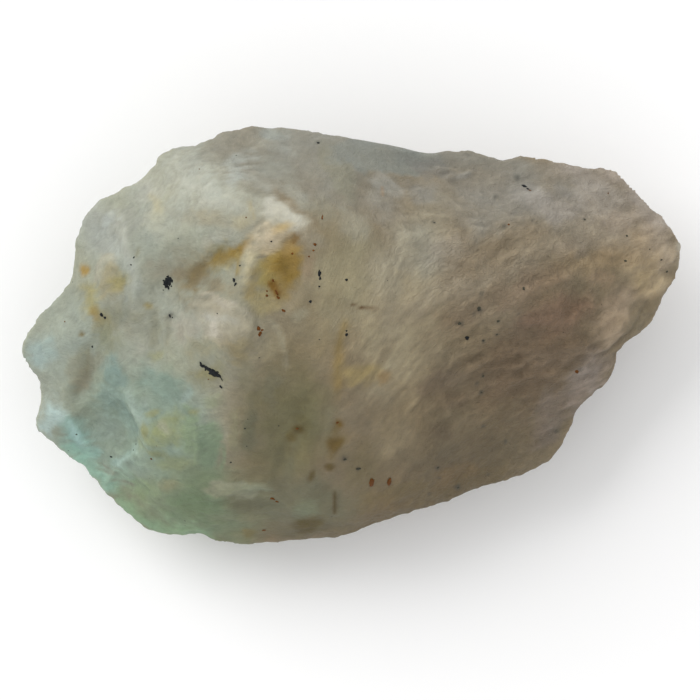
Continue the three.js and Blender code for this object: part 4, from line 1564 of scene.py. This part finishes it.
@dataclass
class Opal:
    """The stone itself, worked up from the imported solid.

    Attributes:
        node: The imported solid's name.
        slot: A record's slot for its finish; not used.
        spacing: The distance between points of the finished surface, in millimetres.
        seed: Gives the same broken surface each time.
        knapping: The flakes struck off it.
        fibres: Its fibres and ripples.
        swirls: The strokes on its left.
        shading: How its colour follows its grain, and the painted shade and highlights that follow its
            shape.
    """

    node: str = "opal"
    slot: str = "milky_opal"
    spacing: float = 0.2
    seed: int = 11
    knapping: Knapping = field(default_factory=Knapping)
    fibres: Fibres = field(default_factory=Fibres)
    swirls: Swirls = field(default_factory=Swirls)
    shading: Shading = field(default_factory=Shading)

    def _rough_copy(self) -> bpy.types.Object:
        """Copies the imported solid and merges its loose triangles.

        Returns:
            The copy, in millimetres.
        """
        shape = bmesh.new()
        shape.from_mesh(frame["nodes"][self.node].data)
        bmesh.ops.remove_doubles(shape, verts=shape.verts, dist=0.001 * MM)
        bmesh.ops.scale(shape, vec=(1 / MM,) * 3, verts=shape.verts)
        mesh = bpy.data.meshes.new("opal_surface")
        shape.to_mesh(mesh)
        shape.free()
        stone = bpy.data.objects.new("opal_surface", mesh)
        bpy.context.scene.collection.objects.link(stone)
        return stone

    def _even_mesh(self, stone: bpy.types.Object) -> None:
        """Rounds the copy, strikes the flakes off it and divides it evenly.

        Args:
            stone: The copy, which keeps the result.
        """
        rounding = stone.modifiers.new("rounding", "SUBSURF")
        rounding.levels = rounding.render_levels = 2
        bpy.context.view_layer.update()
        cutters = self.knapping.cutters(stone)
        flaking = stone.modifiers.new("flaking", "BOOLEAN")
        flaking.operation = "DIFFERENCE"
        flaking.operand_type = "COLLECTION"
        flaking.solver = "MANIFOLD"
        flaking.collection = cutters
        evening = stone.modifiers.new("evening", "REMESH")
        evening.mode = "VOXEL"
        evening.voxel_size = self.spacing
        ready = stone.evaluated_get(bpy.context.evaluated_depsgraph_get())
        even = bpy.data.meshes.new_from_object(ready)
        even.materials.clear()
        stone.modifiers.clear()
        stone.data = even
        for cutter in list(cutters.objects):
            bpy.data.objects.remove(cutter)
        bpy.data.collections.remove(cutters)

    def _shape(self, clay: Clay) -> None:
        """Works the broken surface up from coarse to fine.

        Args:
            clay: The surface to work.
        """
        coarse, fine = SmoothNoise(self.seed), SmoothNoise(self.seed + 1)
        clay.relax(share=0.5, rounds=1)
        upper = clay.upper()
        softened = sum(swell.height(clay.plan) for swell in SOFTENED)
        clay.relax(share=np.minimum(softened, 0.9) * upper, rounds=60)
        clay.push(upper * sum(swell.height(clay.plan) for swell in SWELLS))
        waver = 0.35 * np.column_stack([fine(clay.points, size=1.7, shift=shift) for shift in (0, 40)])
        plan = clay.plan + waver
        clay.push(clay.upper() * sum(mark.height(plan) for mark in MARKS))
        clay.push(clay.rim() * sum(swell.height(clay.plan) for swell in RIM_SWELLS))
        clay.push(self._unevenness(clay, coarse, fine))

    def _unevenness(self, clay: Clay, coarse: SmoothNoise, fine: SmoothNoise) -> np.ndarray:
        """Works out the fine unevenness of the broken surface.

        Args:
            clay: The surface.
            coarse: Noise for the broad unevenness.
            fine: Noise for the fine one.

        Returns:
            How far each point moves out.
        """
        points = clay.points
        left = smoothstep(-1.5, -8.0, points[:, 0] + 1.2 * coarse(points, size=4))
        lumps = 0.1 * coarse.layered(points, 4, gain=0.6, size=2.0) * (0.3 + 0.7 * left)
        creases = -0.1 * np.abs(fine.layered(points, 3, gain=0.55, size=1.3)) * left
        grit = 0.03 * fine.layered(points, 2, size=0.6)
        strands = self.fibres.height(points, fine) * clay.upper()
        strokes = 0.04 * left * self.swirls.strokes(points, fine)
        crumbs = 0.2 * clay.rim() * fine.layered(points, 3, gain=0.6, size=1.2, shift=60)
        facet = np.exp(-(reach_of(clay.plan, **SMOOTH_FACET) ** 4))
        return (lumps + creases + grit + strands + strokes + crumbs) * (1 - 0.85 * facet)

    def _paint(self, clay: Clay) -> Canvas:
        """Lays the body colours on.

        Args:
            clay: The shaped stone.

        Returns:
            The painted canvas.
        """
        points = clay.points
        grain = SmoothNoise(self.seed + 1)
        clouds, stains = SmoothNoise(self.seed + 5), SmoothNoise(self.seed + 6)
        right = smoothstep(-6, 2, points[:, 0])
        strokes = (1 - right) * self.swirls.strokes(points, grain)
        strands = right * self.fibres.strands(points, grain)
        canvas = Canvas(clay, GROUND, strokes + strands, self.seed + 2)
        canvas.lay(BODY_COATS)
        hidden = 1 - canvas.upper
        pale = smoothstep(0.1, 0.5, clouds.layered(points, 3, size=5))
        ochre = smoothstep(0.22, 0.6, stains.layered(points, 4, size=3.5))
        canvas.blend(PALE_CLOUDS, 0.5 * hidden * pale)
        canvas.blend(OCHRE_STAINS, 0.6 * hidden * ochre)
        canvas.torn = 2.0
        canvas.lay(SURFACE_COATS, canvas.upper)
        specks = [Patch("speck", (x, y), (size, size), 0, SPECK, 0.75, 1.0) for x, y, size in BLURRED_SPECKS]
        canvas.lay(specks, canvas.upper)
        canvas.brighten(self.shading.clouds * clouds.layered(points, 4, gain=0.62, size=2.2))
        canvas.tint(stains.layered(points, 3, size=3, shift=9), self.shading.warmth)
        canvas.brighten(self.shading.strands * strands + self.shading.strokes * strokes)
        # Painted shade and painted highlights that follow the stone's shape.
        self._shade(canvas, clay, right)
        return canvas

    def _shade(self, canvas: Canvas, clay: Clay, right: np.ndarray) -> None:
        """Paints shade on the steep sides and in the dips, and paints highlights on the crests.

        Args:
            canvas: The painted canvas.
            clay: The shaped stone.
            right: 1 on the right side of the stone and 0 on its left.
        """
        shading = self.shading
        x, y = clay.points[:, 0], clay.points[:, 1]
        # Painted shade: steep sides darken, most of all towards the lower right, which faces away from the
        # key light.
        shade_towards_lower_right = 0.25 + 0.75 * smoothstep(6, -2, y) * smoothstep(-12, -4, x)
        steep = smoothstep(0.75, 0.15, clay.normals()[:, 2])
        canvas.brighten(-shading.steep * shade_towards_lower_right * steep)
        # Painted highlights on the fine and broad crests, and painted shade in the dips between them.
        on_the_left, more_on_the_right = shading.crests
        crests = np.clip(clay.standing(3) / shading.crest, -1, 1)
        canvas.brighten((on_the_left + more_on_the_right * right) * crests)
        canvas.brighten(shading.folds * np.clip(clay.standing(24) / shading.fold, -1, 1))

    def build(self) -> bpy.types.Object:
        """Builds the stone.

        Returns:
            The finished object, in metres.
        """
        stone = self._rough_copy()
        self._even_mesh(stone)
        mesh = stone.data
        clay = Clay(mesh)
        self._shape(clay)
        mesh.vertices.foreach_set("co", (clay.points * MM).ravel())
        self._paint(clay).save(mesh, MilkyOpal.COLOURS)
        mesh.shade_smooth()
        course = mesh.attributes.new(Fibres.COURSE, "FLOAT_VECTOR", "POINT")
        course.data.foreach_set("vector", self.fibres.course(clay.points).ravel())
        mesh.materials.append(MilkyOpal().make())
        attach(stone, "root")
        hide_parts(self.node)
        LOG.info("opal: %d points, %d faces", len(mesh.vertices), len(mesh.polygons))
        return stone


@dataclass(frozen=True)
class Grain:
    """A dark mineral grain set in the surface.

    Attributes:
        at: Its place in plan, on the upper side.
        size: Its length and width, in millimetres.
        turn: The direction of its length, in degrees.
    """

    at: Plan
    size: Plan
    turn: float = 0.0


def grains(*rows: tuple[float, ...]) -> tuple[Grain, ...]:
    """Makes grains, each from its place, its length, its width and, where it matters, its turn."""
    return tuple(Grain((x, y), (length, width), *turn) for x, y, length, width, *turn in rows)


DARK_GRAINS = grains(
    # The branching cluster on the upper left.
    (-12.35, 3.75, 0.42, 0.34, 60), (-12.15, 3.85, 0.36, 0.30, 100), (-12.45, 3.6, 0.34, 0.26, 10),
    (-12.2, 3.55, 0.46, 0.34, 80), (-12.4, 3.4, 0.34, 0.28, 40), (-12.25, 3.25, 0.28, 0.22, 70),
    (-12.0, 3.7, 0.24, 0.18, 100), (-12.6, 3.75, 0.16, 0.12), (-12.55, 3.5, 0.18, 0.14, 30),
    (-12.3, 4.0, 0.22, 0.14, 20), (-12.05, 3.35, 0.14, 0.12), (-12.6, 3.1, 0.1, 0.08),
    # The long streak below the white lobe.
    (-10.05, -1.85, 0.34, 0.2, -70), (-9.92, -1.98, 0.4, 0.26, -20), (-9.7, -2.1, 0.4, 0.22, -30),
    (-9.5, -2.22, 0.5, 0.34, -30), (-9.3, -2.36, 0.56, 0.44, -30), (-9.12, -2.48, 0.56, 0.46, -10),
    (-8.95, -2.58, 0.52, 0.36, -25), (-8.78, -2.7, 0.42, 0.24, -50), (-8.66, -2.86, 0.36, 0.14, -45),
    (-9.42, -2.5, 0.26, 0.2), (-9.74, -2.26, 0.2, 0.12, 30), (-8.9, -2.4, 0.2, 0.14),
    (-8.7, -3.4, 0.28, 0.2, -40),
    # Single grains on the left.
    (-7.8, 3.75, 0.42, 0.22, 110), (-7.7, 3.45, 0.28, 0.2, 60), (-12.15, 1.36, 0.26, 0.2, -40),
    (-11.97, 1.25, 0.14, 0.1), (-16.85, 1.45, 0.34, 0.24, -30), (-16.6, 1.25, 0.24, 0.16),
    (-17.5, -0.7, 0.18, 0.16), (-8.9, 1.5, 0.14, 0.12), (-7.4, 4.7, 0.14, 0.12),
    (-5.3, 6.3, 0.14, 0.12), (-14.6, 5.3, 0.16, 0.1, 60), (-14.8, 4.8, 0.14, 0.1),
    (-8.1, -8.5, 0.13, 0.12), (-7.1, -6.2, 0.13, 0.12), (-7.0, -7.4, 0.1, 0.1),
    (-16.3, -8.2, 0.2, 0.15),
    # Single grains beside the ochre hollow and on the right.
    (-2.1, 4.2, 0.42, 0.24, 90), (-2.05, 3.85, 0.26, 0.18, 90), (-2.1, 3.3, 0.14, 0.12),
    (-0.3, 3.75, 0.22, 0.18), (-2.7, 2.3, 0.2, 0.18), (-0.3, 0.1, 0.26, 0.2, 90),
    (-0.3, 0.35, 0.16, 0.14), (-2.2, 13.0, 0.2, 0.16), (11.7, 10.15, 0.4, 0.22, -30),
    (11.95, 9.95, 0.22, 0.14, -30), (7.8, -0.1, 0.34, 0.26, -30),
)

SUNK_GRAINS = grains(
    (11.6, 3.2, 0.26, 0.2, 90), (8.6, 1.85, 0.32, 0.26, 50), (7.3, 0.85, 0.26, 0.2),
    (9.9, 1.0, 0.2, 0.18), (9.8, 0.1, 0.16, 0.14), (8.9, -0.3, 0.16, 0.14), (5.6, 7.6, 0.16, 0.12),
    (15.8, 7.9, 0.14, 0.12), (18.7, 6.8, 0.16, 0.14), (18.6, 5.1, 0.2, 0.16), (21.1, 5.2, 0.18, 0.14),
    (21.5, 4.4, 0.16, 0.14), (0.5, -8.95, 0.34, 0.24, -10), (-0.4, -8.3, 0.22, 0.18),
    (8.9, -2.7, 0.16, 0.14, 40), (8.8, -3.8, 0.18, 0.14), (5.9, -8.9, 0.2, 0.14, 80),
    (7.3, -10.3, 0.18, 0.14, 20),
)

RUST_GRAINS = grains(
    (-6.15, 0.5, 0.36, 0.26, 80), (-6.05, 0.15, 0.34, 0.24, 60), (-5.9, 0.4, 0.2, 0.14),
    (-2.4, 6.1, 0.24, 0.2), (-2.5, 5.7, 0.16, 0.12), (-2.8, 5.3, 0.14, 0.12),
    (-1.9, 7.9, 0.36, 0.12, 90), (1.4, -9.9, 0.9, 0.34, 88), (2.6, -9.85, 0.8, 0.3, 88),
    (-5.3, -11.0, 0.46, 0.26, -30), (-5.0, -11.2, 0.26, 0.2, -30), (-4.5, 1.7, 0.3, 0.18, -40),
    (-5.2, 3.7, 0.24, 0.16, -60), (-4.95, 2.9, 0.4, 0.18, -70), (-4.85, 2.55, 0.26, 0.16, -40),
    (-5.6, 2.7, 0.2, 0.16), (-5.6, 3.0, 0.14, 0.12), (-3.9, 5.5, 0.18, 0.16), (10.6, 7.5, 0.18, 0.14),
    (12.1, 9.85, 0.22, 0.12, -30), (15.3, -2.4, 0.34, 0.22, -30), (-5.9, -13.2, 0.34, 0.2, 10),
    (-13.5, -8.3, 0.16, 0.14), (-19.4, 1.0, 0.14, 0.12), (-3.6, -6.2, 0.2, 0.18),
    (-0.9, -5.8, 0.22, 0.18),
)


@dataclass
class GrainBed:
    """All the grains of one mineral, joined in one mesh.

    Attributes:
        name: The piece's name.
        placed: The grains with a place of their own.
        scattered: How many more are strewn over the whole stone.
        lengths: The least and the greatest length of those, in millimetres.
        swatch: Their colour.
        roughness: How rough they are.
        seed: Gives the same strewing each time.
        flatness: How thick they are, as a share of their width.
        standing: How much of their thickness stands out of the stone.
        lowest: The lowest place that one is strewn at.
    """

    name: str
    placed: Sequence[Grain]
    scattered: int
    lengths: Plan
    swatch: Swatch
    roughness: float
    seed: int
    flatness: float = 0.3
    standing: float = 0.6
    lowest: float = 0.5

    def _add(self, bed: bmesh.types.BMesh, spot: Vector, facing: Vector, grain: Grain,
             draw: np.random.Generator) -> None:
        """Adds one grain to the bed.

        Args:
            bed: The mesh of all the grains.
            spot: The surface point it sits at, in metres.
            facing: The way the surface faces there.
            grain: Its size and turn.
            draw: Draws its roughness.
        """
        thickness = self.flatness * min(grain.size)
        upright = Vector((0, 0, 1)).rotation_difference(facing).to_matrix().to_4x4()
        turned = Matrix.Rotation(math.radians(grain.turn), 4, "Z")
        sizes = Vector((*grain.size, thickness)) * MM / 2
        sunk = Matrix.Translation(Vector((0, 0, (self.standing - 0.5) * thickness * MM)))
        place = Matrix.Translation(spot) @ upright @ turned @ sunk @ Matrix.Diagonal((*sizes, 1))
        made = bmesh.ops.create_icosphere(bed, subdivisions=2, radius=1.0)
        for vert in made["verts"]:
            vert.co *= draw.uniform(0.55, 1.3)
        bmesh.ops.transform(bed, matrix=place, verts=made["verts"])

    def build(self, stone: bpy.types.Object) -> bpy.types.Object:
        """Builds the bed on the stone.

        Args:
            stone: The finished stone.

        Returns:
            The grains, as one object.
        """
        draw = np.random.default_rng(self.seed)
        bed = bmesh.new()
        down = Vector((0, 0, -1))
        for grain in self.placed:
            x, y = grain.at
            found, spot, facing, _ = stone.ray_cast(Vector((x * MM, y * MM, 1)), down)
            if found:
                self._add(bed, spot, facing, grain, draw)
        for index in draw.choice(len(stone.data.vertices), self.scattered, replace=False):
            vertex = stone.data.vertices[int(index)]
            length = draw.uniform(*self.lengths)
            grain = Grain((0, 0), (length, length * draw.uniform(0.5, 0.9)), draw.uniform(0, 180))
            if vertex.co.z > self.lowest * MM:
                self._add(bed, vertex.co, vertex.normal, grain, draw)
        mesh = bpy.data.meshes.new(self.name)
        bed.to_mesh(mesh)
        bed.free()
        mesh.shade_smooth()
        joined = bpy.data.objects.new(self.name, mesh)
        bpy.context.scene.collection.objects.link(joined)
        mesh.materials.append(GrainFinish(self.name, linear(self.swatch), self.roughness).make())
        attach(joined, "root")
        LOG.info("%s: up to %d grains", self.name, len(self.placed) + self.scattered)
        return joined


GRAIN_BEDS = (
    GrainBed("dark_grains", DARK_GRAINS, scattered=30, lengths=(0.07, 0.14), swatch=(16, 20, 22),
             roughness=0.5, seed=5),
    GrainBed("sunk_grains", SUNK_GRAINS, scattered=8, lengths=(0.08, 0.14), swatch=(56, 56, 46),
             roughness=0.6, seed=7),
    GrainBed("rust_grains", RUST_GRAINS, scattered=14, lengths=(0.08, 0.14), swatch=(92, 53, 14),
             roughness=0.6, seed=6),
)


@dataclass(frozen=True)
class GrainFinish:
    """The finish of the mineral grains.

    Attributes:
        name: The material's name.
        colour: Its linear colour.
        roughness: How rough it is where the mottling is darkest.
    """

    name: str
    colour: Colour
    roughness: float

    def make(self) -> bpy.types.Material:
        """Builds the material.

        Returns:
            The finished material.
        """
        shader = Shader(self.name)
        mottle = shader.noise(shader.place(), 9.0, 3)
        lighter = tuple(1.8 * part for part in self.colour)
        bsdf = shader.node("ShaderNodeBsdfPrincipled", None, {
            "Base Color": shader.mix(self.colour, lighter, mottle.smooth(0.45, 0.75)),
            "Roughness": self.roughness + mottle * 0.2,
            "Specular IOR Level": 0.2,
        })
        return shader.close(bsdf)


@dataclass
class Studio:
    """The floor, the light and the camera.

    Attributes:
        lens: The camera's focal length, in millimetres.
        field: How wide a stretch the camera sees, in millimetres.
        middle: Where the camera points, in plan.
        level: The height that the field is measured at.
        sky: The strength of the light from all round.
    """

    lens: float = 400.0
    field: float = 47.6
    middle: Plan = (-0.06, -0.93)
    level: float = 8.0
    sky: float = 0.83

    def _floor(self) -> None:
        """Lays the pale floor."""
        shape = bmesh.new()
        bmesh.ops.create_grid(shape, x_segments=2, y_segments=2, size=1.5)
        mesh = bpy.data.meshes.new("floor")
        shape.to_mesh(mesh)
        shape.free()
        floor = bpy.data.objects.new("floor", mesh)
        bpy.context.scene.collection.objects.link(floor)
        shader = Shader("floor")
        paper = {"Base Color": (0.96, 0.96, 0.96, 1), "Roughness": 0.9, "Specular IOR Level": 0.0}
        mesh.materials.append(shader.close(shader.node("ShaderNodeBsdfPrincipled", None, paper)))

    def _panel(self, name: str, place: tuple[float, float, float], size: float, power: float) -> None:
        """Hangs a soft square light that faces the stone.

        Args:
            name: The light's name.
            place: Where it hangs, in metres.
            size: How wide it is.
            power: How strong it is, in watts.
        """
        data = bpy.data.lights.new(name, "AREA")
        data.size, data.energy = size, power
        panel = bpy.data.objects.new(name, data)
        panel.location = place
        panel.rotation_euler = (-Vector(place)).to_track_quat("-Z", "Y").to_euler()
        bpy.context.scene.collection.objects.link(panel)

    def _room(self) -> None:
        """Lights everything evenly from all round."""
        world = bpy.data.worlds.new("room")
        world.use_nodes = True
        background = world.node_tree.nodes["Background"]
        background.inputs["Color"].default_value = (1, 1, 1, 1)
        background.inputs["Strength"].default_value = self.sky
        bpy.context.scene.world = world

    def _camera(self) -> None:
        """Sets the camera straight above the stone."""
        data = bpy.data.cameras.new("camera")
        data.lens = self.lens
        data.clip_end = 10
        camera = bpy.data.objects.new("camera", data)
        distance = self.field * self.lens / data.sensor_width
        camera.location = Vector((*self.middle, self.level + distance)) * MM
        bpy.context.scene.collection.objects.link(camera)
        bpy.context.scene.camera = camera

    def build(self) -> None:
        """Builds the studio."""
        self._floor()
        self._room()
        self._panel("key", place=(-0.45, 0.35, 0.5), size=0.5, power=2.95)
        self._camera()
        bpy.context.scene.view_settings.view_transform = "Standard"
        LOG.info("studio: one soft key from the upper left over an even room")


def main() -> None:
    """Builds the stone, its grains and the studio."""
    logging.basicConfig(level=logging.INFO, format="%(message)s")
    stone = Opal().build()
    for bed in GRAIN_BEDS:
        bed.build(stone)
    Studio().build()


if __name__ == "__main__":
    main()
